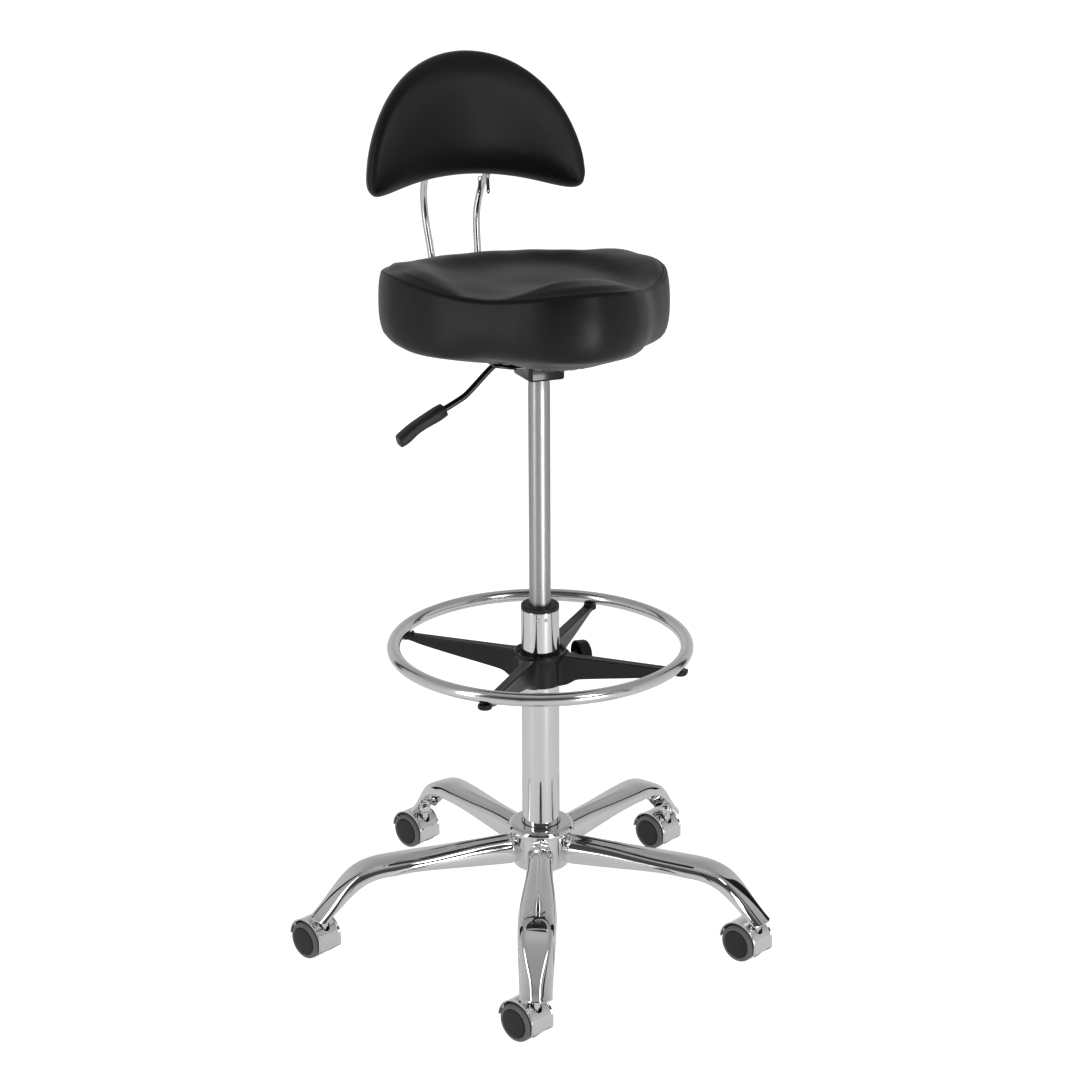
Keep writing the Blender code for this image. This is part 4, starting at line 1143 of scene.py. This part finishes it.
def rows_of(o, count, width):
    co = np.empty(len(o.data.vertices) * 3)
    o.data.vertices.foreach_get("co", co)
    return co.reshape(-1, 3)


nrows = len(all_rows)
hold = np.zeros(nrows * NS + 2)
for i in range(nrows):
    k = i - SEAM_ROW
    if k == 0:
        w = 1.0
    elif abs(k) == 1:
        w = 0.8
    elif k < 0:
        w = 0.10
    else:
        w = 0.05 if SIDE[min(k - 1, len(SIDE) - 1)][0] > -60 else 1.0
    hold[i * NS:(i + 1) * NS] = w
hold[-2] = 0.10
hold[-1] = 1.0
puff(seat, hold, 2.2, NS)

# the seam: a stitched valley, puckered a little on both sides, and soft folds where the thighs pass over it
co = np.empty(len(seat.data.vertices) * 3)
seat.data.vertices.foreach_get("co", co)
co = co.reshape(-1, 3)
nor = np.array([list(n.vector) for n in seat.data.vertex_normals])
for i in range(nrows):
    k = i - SEAM_ROW
    if abs(k) > 8:
        continue
    for j in range(NS):
        q = i * NS + j
        p = co[q] * 1000
        if k == 0:
            co[q] -= nor[q] * 0.0022
            continue
        s = j / NS * 1120.0
        fade = math.exp(-abs(k) / 2.6)
        pucker = noise.noise(Vector((s / 7.5, k * 0.25, 3.1))) * 0.38 + noise.noise(Vector((s / 17.0, k * 0.2, 8.4))) * 0.45
        co[q] += nor[q] * pucker * fade * 0.001
        if abs(k) == 1:
            co[q] += nor[q] * 0.00025
# folds below the seam at the front recesses
for i in range(SEAM_ROW + 2, SEAM_ROW + 11):
    for j in range(NS):
        q = i * NS + j
        u, vv = seam[j, 0], seam[j, 1]
        here = math.exp(-((abs(u) - 98) ** 2 + (vv - 108) ** 2) / (34.0 ** 2))
        if here < 0.02:
            continue
        d = i - SEAM_ROW
        ripple = math.sin(d * 1.25 + 0.6 * math.sin(u / 13.0)) * 0.42 * math.exp(-d / 5.0)
        co[q] += nor[q] * ripple * here * 0.001
seat.data.vertices.foreach_set("co", co.reshape(-1))
seat.data.update()
seat.data.shade_smooth()


def tree_of(o):
    deps = bpy.context.evaluated_depsgraph_get()
    bm = bmesh.new()
    bm.from_mesh(o.data)
    t = BVHTree.FromBMesh(bm)
    bm.free()
    return t


def stitches(name, path, tree, body, length=3.3, gap=1.7, width=0.5, proud=0.2, mat="thread"):
    """Short threads laid along a path of world points on a surface."""
    P = np.array([list(p) for p in path])
    d = np.concatenate([[0], np.cumsum(np.linalg.norm(np.diff(P, axis=0), axis=1))])
    total = d[-1]
    pitch = (length + gap) * 0.001
    count = int(total / pitch)
    verts, faces = [], []
    for k in range(count):
        s0 = k * pitch
        pts = []
        for q in (0, .16, .5, .84, 1.0):
            s = s0 + q * length * 0.001
            p = Vector([np.interp(s, d, P[:, a]) for a in range(3)])
            hit, n, _, _ = tree.find_nearest(p)
            dip = {0: -0.35, .16: 0.05, .5: proud, .84: 0.05, 1.0: -0.35}[q]
            pts.append((hit + n * dip * 0.001, n, {0: .5, .16: .95, .5: 1.0, .84: .95, 1.0: .5}[q]))
        base = len(verts)
        for m, (c, n, g) in enumerate(pts):
            a, b = pts[max(0, m - 1)][0], pts[min(4, m + 1)][0]
            t = (b - a).normalized()
            side = t.cross(n).normalized()
            for w in range(6):
                ang = 2 * math.pi * w / 6
                verts.append(c + side * (width * g * math.cos(ang) * 0.001) + n * (width * 0.8 * g * math.sin(ang) * 0.001))
        for m in range(4):
            for w in range(6):
                x = (w + 1) % 6
                faces.append((base + m * 6 + w, base + m * 6 + x, base + (m + 1) * 6 + x, base + (m + 1) * 6 + w))
        faces.append(tuple(base + w for w in reversed(range(6))))
        faces.append(tuple(base + 24 + w for w in range(6)))
    return make(name, verts, faces, mat, body, "cover", scale=None)


seat_tree = tree_of(seat)
inner = []
for j in list(range(NS)) + [0]:
    uv = seam[j, :2] - radial[j] * 2.5
    inner.append(W(uv[0], -uv[1], seam[j, 2] + 3.0))
stitches("seat_stitches", inner, seat_tree, "seat_frame")

# staples under the seat, round the board
brow = side_rows[-3]
for k in range(0, NS, 9):
    p = brow[k]
    q = brow[(k + 1) % NS]
    d = Vector((q[0] - p[0], q[1] - p[1], 0)).normalized()
    n = Vector((d.y, -d.x, 0))
    c = Vector((p[0], p[1], 802.0))
    hit, nn, _, _ = seat_tree.find_nearest(W(*c))
    hz = hit.z * 1000
    rows = []
    for e, drop_z in ((-5.2, 0.5), (-4.9, -0.28), (-4.2, -0.5), (4.2, -0.5), (4.9, -0.28), (5.2, 0.5)):
        rows.append([c + d * e + n * a + Vector((0, 0, hz - 802.0 + drop_z + b)) for a, b in ((-.45, .2), (.45, .2), (.45, -.25), (-.45, -.25))])
    v, f = grid(rows, cap=True)
    make(f"seat_staple_{k // 9 + 1}", v, f, "pull_metal", "seat_frame", "cover", smooth=False)

# ----------------------------------------------------------------- backrest
PAD_Y, PAD_Z, PAD_HALF_W, PAD_WRAP, PAD_TILT = 246.0, 990.0, 148.0, 39.0, rad(1.0)
PAD_MID = np.array([0.0, 1052.0])
PAD_ROLL = math.tan(rad(1.2))
PAD_HALF = [(0, 1151.5), (64, 1137.5), (115, 1096), (145, 1036), (154.5, 980), (139.5, 963.5), (84, 981), (0, 992)]


def on_pad(x, z, depth=0.0, roll=0.0):
    z -= x * roll
    return (x, PAD_Y + math.tan(PAD_TILT) * (z - PAD_Z) - PAD_WRAP * (x / PAD_HALF_W) ** 2 + depth, z)


def bspline(points, per=24):
    p = np.array(points, float)
    n = len(p)
    out = []
    for i in range(n):
        a, b, c, d = p[i - 1], p[i], p[(i + 1) % n], p[(i + 2) % n]
        for k in range(per):
            t = k / per
            out.append(((1 - t) ** 3 * a + (3 * t ** 3 - 6 * t * t + 4) * b + (-3 * t ** 3 + 3 * t * t + 3 * t + 1) * c + t ** 3 * d) / 6)
    return np.array(out)


NP = 384
cage = PAD_HALF + [(-x, z) for x, z in reversed(PAD_HALF[1:-1])]
edge = resample(bspline(cage), NP, True)
arm = edge - PAD_MID
far = np.linalg.norm(arm, axis=1)
unit = arm / far[:, None]
edge = edge + unit * 1.0
far = far + 1.0


def pad_depth(inset, thick, run, power):
    x = np.clip(1 - inset / run, 0, 1)
    return thick * (1 - x ** power) ** (1 / power)


def inset_at(pts):
    """Distance from each point inside the outline to the outline; 0 outside it."""
    a, b = edge, np.roll(edge, -1, axis=0)
    ab = b - a
    best = np.full(len(pts), 1e9)
    crossings = np.zeros(len(pts), int)
    for k in range(len(a)):
        ap = pts - a[k]
        t = np.clip((ap @ ab[k]) / (ab[k] @ ab[k]), 0, 1)
        best = np.minimum(best, np.linalg.norm(ap - t[:, None] * ab[k], axis=1))
        up = (a[k, 1] > pts[:, 1]) != (b[k, 1] > pts[:, 1])
        if up.any():
            cut = a[k, 0] + (pts[up, 1] - a[k, 1]) / (b[k, 1] - a[k, 1]) * ab[k, 0]
            crossings[np.where(up)[0][pts[up, 0] < cut]] += 1
    best[(crossings % 2 == 0) & (best > 0.02)] = 0.0
    return best


class Pillow:
    """Depth of the pad over its outline, rounded at the rim and smooth in the middle."""

    def __init__(self, thick, run, power, sigma, step=2.5):
        self.args = (thick, run, power)
        self.x0, self.z0, self.step = -185.0, 935.0, step
        gx, gz = np.arange(self.x0, 186.0, step), np.arange(self.z0, 1186.0, step)
        X, Z = np.meshgrid(gx, gz, indexing="ij")
        d = pad_depth(inset_at(np.column_stack([X.ravel(), Z.ravel()])), thick, run, power).reshape(X.shape)
        n = int(3 * sigma / step)
        k = np.exp(-(np.arange(-n, n + 1) * step) ** 2 / (2 * sigma ** 2))
        k /= k.sum()
        d = np.apply_along_axis(lambda c: np.convolve(c, k, mode="same"), 0, d)
        self.soft = np.apply_along_axis(lambda c: np.convolve(c, k, mode="same"), 1, d)

    def __call__(self, pts, rim):
        d = inset_at(pts) if not rim else np.zeros(len(pts))
        hard = pad_depth(d, *self.args)
        i, j = (pts[:, 0] - self.x0) / self.step, (pts[:, 1] - self.z0) / self.step
        a, b = i.astype(int), j.astype(int)
        i, j = i - a, j - b
        g = self.soft
        soft = (g[a, b] * (1 - i) * (1 - j) + g[a + 1, b] * i * (1 - j) + g[a, b + 1] * (1 - i) * j + g[a + 1, b + 1] * i * j)
        w = np.clip((d - 6.0) / 22.0, 0, 1)
        w = w * w * (3 - 2 * w)
        return hard * (1 - w) + soft * w


insets = [0.0, 0.35, 1.0, 2.0, 3.4, 5.2, 7.6, 10.6, 14.2, 18.4, 23.2, 28.6, 34.6, 41, 48, 55.5]
squeeze = np.minimum(1.0, far * 0.62 / 55.5)
for _ in range(30):
    squeeze = (np.roll(squeeze, 1) + 2 * squeeze + np.roll(squeeze, -1)) / 4


def pad_points(e):
    # full insets at the rim, squeezed where the outline comes near the middle
    g = 1 + (squeeze - 1) * min(1.0, e / 12.0)
    return edge - unit * (e * g)[:, None]


face_front, face_rear = Pillow(24.6, 56.0, 2.2, 10.0), Pillow(23.6, 36.0, 2.7, 7.0)
front, rear = [], []
for e in insets:
    pts = pad_points(e)
    front.append((pts, -face_front(pts, e == 0.0)))
inner = pad_points(insets[-1])
for s in np.linspace(0, 1, 17)[1:-1]:
    pts = PAD_MID + (inner - PAD_MID) * (1 - s)
    front.append((pts, -face_front(pts, False)))
# a slight dish in the middle of the front, where the back leans
rows = []
for pts, dep in reversed(front):
    r = []
    for (x, z), d in zip(pts, dep):
        crown = -1.2 * math.exp(-((x / 90) ** 2 + ((z - 1066) / 46) ** 2))
        r.append(on_pad(x, z, d + crown, PAD_ROLL))
    rows.append(r)
EDGE_ROW = len(rows) - 1
rear_list = []
for e in insets[1:]:
    pts = pad_points(e)
    rear_list.append((pts, face_rear(pts, False)))
for s in np.linspace(0, 1, 17)[1:-1]:
    pts = PAD_MID + (inner - PAD_MID) * (1 - s)
    rear_list.append((pts, face_rear(pts, False)))
for pts, dep in rear_list:
    rows.append([on_pad(x, z, d, PAD_ROLL) for (x, z), d in zip(pts, dep)])
pad_rows = rows
v, f = grid(rows, cap=True)
pad = make("back_cover", v, f, "leather", "seat_frame", "cover", stands_for=("back_cushion",))
hold = np.full(len(rows) * NP + 2, 0.08)
for i in range(len(rows)):
    k = i - EDGE_ROW
    if 5 <= k <= 7:
        hold[i * NP:(i + 1) * NP] = 1.0
puff(pad, hold, 2.0, NP)
co = np.empty(len(pad.data.vertices) * 3)
pad.data.vertices.foreach_get("co", co)
co = co.reshape(-1, 3)
nor = np.array([list(n.vector) for n in pad.data.vertex_normals])
for q in range(len(co)):
    x, y, z = co[q][0] * 1000 - AX, co[q][1] * 1000 - AY, co[q][2] * 1000
    for s in (-1, 1):
        dx, dz = (x - s * 141.0) * s, z - 969.0
        dist = math.hypot(dx, dz)
        if dist > 75:
            continue
        ang = math.degrees(math.atan2(dz, -dx))
        amount = 0.0
        for k, (a, wide, deep, reach_mm) in enumerate(((103, 7, 1.3, 26), (82, 6, 0.9, 22), (60, 8, 0.8, 20), (20, 9, 0.6, 16), (128, 8, 0.9, 18))):
            a += 3.0 * s
            amount += deep * math.exp(-((ang - a) / wide) ** 2) * math.exp(-dist / reach_mm) * ease(dist, 2, 9)
        co[q] -= nor[q] * amount * 0.001
pad.data.vertices.foreach_set("co", co.reshape(-1))
pad.data.update()
pad.data.shade_smooth()
pad_tree = tree_of(pad)

# the rear panel's seam, and the zip along the lower rear edge
zip_row = EDGE_ROW + 6
order = sorted([j for j in range(NP) if pad_rows[EDGE_ROW][j][2] < 1010 and abs(pad_rows[EDGE_ROW][j][0]) < 118],
               key=lambda j: pad_rows[EDGE_ROW][j][0])
line = [W(*pad_rows[zip_row][j]) for j in order]
line = [pad_tree.find_nearest(p)[0] for p in line]
line = [Vector(p) for p in resample([list(p) for p in line], 160)]
strip_rows = []
for i, p in enumerate(line):
    hit, n, _, _ = pad_tree.find_nearest(p)
    t = (line[min(i + 1, len(line) - 1)] - line[max(i - 1, 0)]).normalized()
    side = t.cross(n).normalized()
    r = []
    for a, b in ((-5.0, -0.3), (-4.9, 0.42), (-1.9, 0.5), (-1.6, 0.75), (1.6, 0.75), (1.9, 0.5), (4.9, 0.42), (5.0, -0.3)):
        g = p + side * a * 0.001
        h2, n2, _, _ = pad_tree.find_nearest(g)
        r.append(h2 + n2 * b * 0.001)
    strip_rows.append(r)
v, f = grid(strip_rows, cap=True)
tape = make("back_zip_tape", v, f, "zip", "seat_frame", "cover", scale=None)
verts, faces = [], []
cum = np.concatenate([[0], np.cumsum([(line[i + 1] - line[i]).length for i in range(len(line) - 1)])])
for k in range(int(cum[-1] / 0.0021)):
    s = k * 0.0021
    p = Vector([np.interp(s, cum, [q[a] for q in line]) for a in range(3)])
    p2 = Vector([np.interp(s + 0.001, cum, [q[a] for q in line]) for a in range(3)])
    hit, n, _, _ = pad_tree.find_nearest(p)
    t = (p2 - p).normalized()
    side = t.cross(n).normalized()
    off = 0.00035 if k % 2 else -0.00035
    c = hit + n * 0.00105 + side * off
    base = len(verts)
    for h, g in ((-0.45, 1.0), (0.25, 1.0), (0.5, 0.7)):
        for a, b in ((-1, -1), (1, -1), (1, 1), (-1, 1)):
            verts.append(c + t * (0.62 * a * g * 0.001) + side * (1.5 * b * g * 0.001) + n * h * 0.001)
    for m in range(2):
        for w in range(4):
            x = (w + 1) % 4
            faces.append((base + m * 4 + w, base + m * 4 + x, base + (m + 1) * 4 + x, base + (m + 1) * 4 + w))
    faces.append((base + 3, base + 2, base + 1, base))
    faces.append((base + 8, base + 9, base + 10, base + 11))
make("back_zip_teeth", verts, faces, "pull", "seat_frame", "cover", smooth=False, scale=None)


def zip_pull(name, x, top_z, low_z, y, tilt):
    """Slider on the zip with a ring and a hanging tab whose pointed end has a hole."""
    hit, n, _, _ = pad_tree.find_nearest(W(x, y, top_z + 3))
    c = hit + n * 0.0022
    cx, cy, cz = c.x * 1000 - AX, c.y * 1000 - AY, c.z * 1000
    # slider body
    rows = []
    for h, g in ((-1.4, .85), (-0.9, 1.0), (0.9, 1.0), (1.4, .8)):
        rows.append([Vector((cx, cy, cz)) + Vector((g * 4.2 * math.cos(2 * math.pi * k / 24), 0, 0)) * (1 if math.cos(2 * math.pi * k / 24) > -2 else 1)
                     + Vector((0, 0, 0)) + Vector((n.x, n.y, n.z)) * h
                     + Vector((0, -n.z, n.y)).normalized() * (g * 3.1 * math.sin(2 * math.pi * k / 24)) for k in range(24)])
    v, f = grid(rows, cap=True)
    make(name + "_slider", v, f, "pull_metal", "seat_frame", "cover")
    # bail
    ring_path = []
    for k in range(25):
        a = 2 * math.pi * k / 24
        ring_path.append(Vector((x + 2.6 * math.sin(a), y, top_z - 1.0 + 3.4 * math.cos(a))))
    sweep(name + "_bail", ring_path, 0.62, 12, "pull_metal", "seat_frame", "cover", caps=False)
    # tab
    outline = [(-1.5, 0), (-2.1, -2.2), (-2.2, -10), (-2.0, -14), (-2.6, -17.5), (-1.6, -21.0), (0, -22.6), (1.6, -21.0), (2.6, -17.5), (2.0, -14),
               (2.2, -10), (2.1, -2.2), (1.5, 0)]
    outline = rounded(outline, 0.8, 3, True)
    scale = (top_z - 3.2 - low_z) / 22.6
    rows = []
    ca, sa = math.cos(rad(tilt)), math.sin(rad(tilt))
    for d, g in ((-0.75, .88), (-0.5, 1.0), (0.5, 1.0), (0.75, .88)):
        r = []
        for a, b in outline:
            aa, bb = a * g, -11.3 + (b + 11.3) * (g * 0.5 + 0.5)
            aa, bb = aa * ca - bb * scale * sa, aa * sa + bb * scale * ca
            r.append((x + aa, y + d, top_z - 3.2 + bb))
        rows.append(r)
    v, f = grid(rows, cap=True)
    tab = make(name + "_tab", v, f, "pull", "seat_frame", "cover")
    hx, hz = x + 18.2 * scale * sa, top_z - 3.2 - 18.2 * scale * ca
    cutter = lathe("tab_hole", [(0, -4), (1.15, -4), (1.15, 4), (0, 4)], 20, "pull", "seat_frame", "cover", centre=(hx, y, hz), axis=(0, 1, 0), smooth=False)
    boolean(tab, cutter)
    drop(cutter)
    bevel(tab, 0.15, 2, 50)
    apply_all(tab)
    shade_by_angle(tab, 35)


zip_pull("back_pull_1", 25.0, 978.0, 956.8, 263.5, -3)
zip_pull("back_pull_2", 36.2, 980.5, 955.6, 263.5, 2)

# -------------------------------------------------------------- back rods
ROD = [
    (30, 68, 795.0), (30.5, 150, 795.0), (31, 225, 795.0), (31.5, 262, 799), (32, 285, 817), (32.5, 293, 842),
    (33.5, 297.5, 873), (37, 309, 922), (40.5, 304, 952), (43, 294, 971), (45, 278, 988),
    on_pad(46.5, 1008, 20.0), on_pad(48.5, 1030, 18.6), on_pad(51, 1062, 18.6),
]
for s, word in ((-1, "left"), (1, "right")):
    path = catmull([(s * x, y, z) for x, y, z in ROD], 10)
    sweep(f"rod_{word}", path, 4.8, 48, "ring", "seat_frame", "chrome", stands_for=(f"back_rod_{word}",))
    # flattened saddle clips that hold the rod to the board
    for k, yy in enumerate((84, 205)):
        rows = []
        for e in (-7, -6.4, 6.4, 7):
            g = 0.86 if abs(e) == 7 else 1.0
            sec = [(-15 * g, 799.7), (-15 * g, 798.3), (-7.2, 798.1), (-6.6, 794), (-5.4, 790.6), (-3.0, 788.9), (0, 788.5), (3.0, 788.9), (5.4, 790.6),
                   (6.6, 794), (7.2, 798.1), (15 * g, 798.3), (15 * g, 799.7), (6.0, 799.7), (5.0, 795), (3.6, 791.9), (0, 790.1), (-3.6, 791.9),
                   (-5.0, 795), (-6.0, 799.7)]
            rows.append([(s * 30.3 + a, yy + e, z) for a, z in sec])
        if yy < 190:
            v, f = grid(rows, cap=False)
            n0 = 20
            faces = list(f)
            for base in (0, 3 * n0):
                for a in range(6):
                    pass
            clip_faces = []
            for base, flip in ((0, True), (3 * n0, False)):
                pairs = [(0, 1, 2, 19), (2, 3, 18, 19), (3, 4, 17, 18), (4, 5, 17), (5, 6, 16, 17), (6, 7, 15, 16), (7, 8, 15), (8, 9, 14, 15),
                         (9, 10, 13, 14), (10, 11, 12, 13)]
                for p in pairs:
                    q = [base + i for i in p]
                    clip_faces.append(tuple(reversed(q)) if flip else tuple(q))
            clip = make(f"rod_clip_{word}_{k + 1}", v, faces + clip_faces, "zinc", "seat_frame", "chrome", smooth=False)
            shade_by_angle(clip, 40)

# ------------------------------------------- what rides on what, CAD finishes
for o in PIECES:
    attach(o, o["look_body"])
    if "look_for" in o:
        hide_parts(*list(o["look_for"]))
    for key in ("look_body", "look_slot", "look_for"):
        if key in o:
            del o[key]

INNER = {"thrust_bearing": "zinc", "piston_rod": "satin", "rod_clip": "zinc", "valve_button": "zinc", "seat_board": "ply", "back_board": "ply"}
for nm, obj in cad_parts.items():
    kind = INNER.get(nm, "zinc" if nm.startswith("caster_axle") else None)
    if kind is None:
        kind = "chrome"
    obj.data.materials.clear()
    obj.data.materials.append(MATS[kind])

# ---------------------------------------------------------------- the studio
floor_mat, ft, fb = new_material("studio_floor")
fb.inputs["Base Color"].default_value = (0.6, 0.6, 0.6, 1)
fb.inputs["Roughness"].default_value = 0.6
fb.inputs["Emission Color"].default_value = (1, 1, 1, 1)
lpf = ft.nodes.new("ShaderNodeLightPath")
glow = ft.nodes.new("ShaderNodeMapRange")
glow.inputs["To Min"].default_value = 0.30
glow.inputs["To Max"].default_value = 0.92
ft.links.new(lpf.outputs["Is Camera Ray"], glow.inputs["Value"])
ft.links.new(glow.outputs[0], fb.inputs["Emission Strength"])
bpy.ops.mesh.primitive_grid_add(x_subdivisions=8, y_subdivisions=8, size=60, location=(0, 0, -0.0006))
floor = bpy.context.object
floor.name = "studio_floor"
floor.data.materials.append(floor_mat)

world = bpy.data.worlds.new("studio")
SCENE.world = world
world.use_nodes = True
wt = world.node_tree
for n in list(wt.nodes):
    wt.nodes.remove(n)
out = wt.nodes.new("ShaderNodeOutputWorld")
tc = wt.nodes.new("ShaderNodeTexCoord")
sep = wt.nodes.new("ShaderNodeSeparateXYZ")
wt.links.new(tc.outputs["Generated"], sep.inputs[0])
mr = wt.nodes.new("ShaderNodeMapRange")
mr.inputs["From Min"].default_value = -1.0
mr.inputs["From Max"].default_value = 1.0
wt.links.new(sep.outputs["Z"], mr.inputs["Value"])


def sky(e):
    return (math.sin(rad(e)) + 1) / 2


band = wt.nodes.new("ShaderNodeValToRGB")
el = band.color_ramp.elements
stops = [(0.0, .85), (sky(-1), .85), (sky(8), .86), (sky(16), .78), (sky(26), .66), (sky(36), .56), (sky(48), .50), (sky(60), .52), (sky(70), .58),
         (sky(78), .68), (sky(84), .74), (1.0, .76)]
while len(el) < len(stops):
    el.new(0.5)
for e, (p, c) in zip(el, stops):
    e.position = p
    e.color = (c, c, c, 1)
wt.links.new(mr.outputs[0], band.inputs[0])
env = wt.nodes.new("ShaderNodeBackground")
env.inputs["Strength"].default_value = 0.66
# a dark bay in the studio behind the photographer
flat = wt.nodes.new("ShaderNodeVectorMath")
flat.operation = "MULTIPLY"
flat.inputs[1].default_value = (1, 1, 0)
wt.links.new(tc.outputs["Generated"], flat.inputs[0])
unitv = wt.nodes.new("ShaderNodeVectorMath")
unitv.operation = "NORMALIZE"
wt.links.new(flat.outputs[0], unitv.inputs[0])
dot = wt.nodes.new("ShaderNodeVectorMath")
dot.operation = "DOT_PRODUCT"
dot.inputs[1].default_value = (math.cos(rad(-112.5)), math.sin(rad(-112.5)), 0)
wt.links.new(unitv.outputs[0], dot.inputs[0])
side = wt.nodes.new("ShaderNodeMapRange")
side.interpolation_type = "SMOOTHSTEP"
side.inputs["From Min"].default_value = 0.45
side.inputs["From Max"].default_value = 0.72
wt.links.new(dot.outputs["Value"], side.inputs["Value"])
bay = wt.nodes.new("ShaderNodeValToRGB")
el = bay.color_ramp.elements
bay_stops = [(0.0, 0.0), (sky(3), 0.0), (sky(7), 1.0), (sky(44), 1.0), (sky(54), 0.0), (1.0, 0.0)]
while len(el) < len(bay_stops):
    el.new(0.5)
for e, (p, c) in zip(el, bay_stops):
    e.position = p
    e.color = (c, c, c, 1)
wt.links.new(mr.outputs[0], bay.inputs[0])
both = wt.nodes.new("ShaderNodeMath")
both.operation = "MULTIPLY"
wt.links.new(side.outputs[0], both.inputs[0])
wt.links.new(bay.outputs["Color"], both.inputs[1])
dark = wt.nodes.new("ShaderNodeMix")
dark.data_type = "RGBA"
dark.inputs[7].default_value = (0.10, 0.10, 0.10, 1)
wt.links.new(both.outputs[0], dark.inputs["Factor"])
wt.links.new(band.outputs["Color"], dark.inputs[6])
wt.links.new(dark.outputs[2], env.inputs["Color"])
back = wt.nodes.new("ShaderNodeBackground")
back.inputs["Color"].default_value = (1, 1, 1, 1)
back.inputs["Strength"].default_value = 1.0
lp = wt.nodes.new("ShaderNodeLightPath")
mx = wt.nodes.new("ShaderNodeMixShader")
wt.links.new(lp.outputs["Is Camera Ray"], mx.inputs[0])
wt.links.new(env.outputs[0], mx.inputs[1])
wt.links.new(back.outputs[0], mx.inputs[2])
wt.links.new(mx.outputs[0], out.inputs[0])


def softbox(name, azimuth, elevation, distance, width, height, power, target=(0.02, -0.02, 0.62), spread=180):
    """azimuth in degrees, counterclockwise from +X seen from above."""
    d = Vector((math.cos(rad(azimuth)) * math.cos(rad(elevation)), math.sin(rad(azimuth)) * math.cos(rad(elevation)), math.sin(rad(elevation))))
    lamp = bpy.data.lights.new(name, "AREA")
    lamp.shape = "RECTANGLE"
    lamp.size, lamp.size_y = width, height
    lamp.energy = power
    lamp.spread = rad(spread)
    o = bpy.data.objects.new(name, lamp)
    o.location = Vector(target) + d * distance
    o.rotation_euler = (-d).to_track_quat("-Z", "Y").to_euler()
    SCENE.collection.objects.link(o)
    return o


def upright(name, azimuth, distance, width, bottom, top, power):
    """A tall strip light that stands on the floor and faces the column."""
    mid = (bottom + top) / 2
    o = softbox(name, azimuth, 0.0, distance, width, top - bottom, power, target=(0.026, -0.026, mid))
    o.visible_camera = False
    return o


upright("key_right_low", -77, 1.75, 0.5, 0.02, 0.46, 6.2)
upright("key_right_high", -75, 1.75, 0.42, 1.15, 2.2, 5.4)
upright("key_left", -165, 1.85, 0.36, 0.02, 2.1, 6.5)
top = softbox("overhead", 70, 76, 2.6, 1.5, 1.2, 14, (0.0, 0.0, 0.8))
top.visible_camera = False
top.visible_glossy = False

# black flags beside the set: the dark edges that polished tubes show
flag_mat, gt, gb = new_material("studio_flag")
gb.inputs["Base Color"].default_value = (0.01, 0.01, 0.01, 1)
gb.inputs["Roughness"].default_value = 1.0
for k, (az, dist, wide) in enumerate(((-112.5 + 122, 2.1, 0.42), (-112.5 - 122, 2.1, 0.42), (-112.5 + 62, 2.2, 0.16), (-112.5 - 12, 2.0, 0.10))):
    cx, cy = dist * math.cos(rad(az)), dist * math.sin(rad(az))
    tx, ty = -math.sin(rad(az)), math.cos(rad(az))
    me = bpy.data.meshes.new(f"flag_{k + 1}")
    me.from_pydata([(cx - tx * wide / 2, cy - ty * wide / 2, 0.0), (cx + tx * wide / 2, cy + ty * wide / 2, 0.0),
                    (cx + tx * wide / 2, cy + ty * wide / 2, 2.2), (cx - tx * wide / 2, cy - ty * wide / 2, 2.2)], [], [(0, 1, 2, 3)])
    o = bpy.data.objects.new(f"flag_{k + 1}", me)
    SCENE.collection.objects.link(o)
    me.materials.append(flag_mat)
    o.visible_camera = False
    o.visible_shadow = False
    o.visible_diffuse = False

SCENE.view_settings.view_transform = "Standard"
SCENE.view_settings.look = "None"
SCENE.view_settings.exposure = 0.0
SCENE.view_settings.gamma = 1.0

cam_data = bpy.data.cameras.new("camera")
cam_data.lens = 76.2
cam_data.sensor_width = 36.0
cam_data.clip_end = 60
cam = bpy.data.objects.new("camera", cam_data)
SCENE.collection.objects.link(cam)
fwd = Vector((0.3633, 0.8770, -0.3145)).normalized()
right = Vector((0.9239, -0.3827, 0.0)).normalized()
up = right.cross(fwd).normalized()
roll = rad(-0.26)
r2 = right * math.cos(roll) + up * math.sin(roll)
u2 = r2.cross(fwd).normalized()
m = Matrix((r2, u2, -fwd)).transposed().to_4x4()
m.translation = Vector((-1.0421, -2.6060, 1.478))
cam.matrix_world = m
SCENE.camera = cam

bpy.context.view_layer.update()
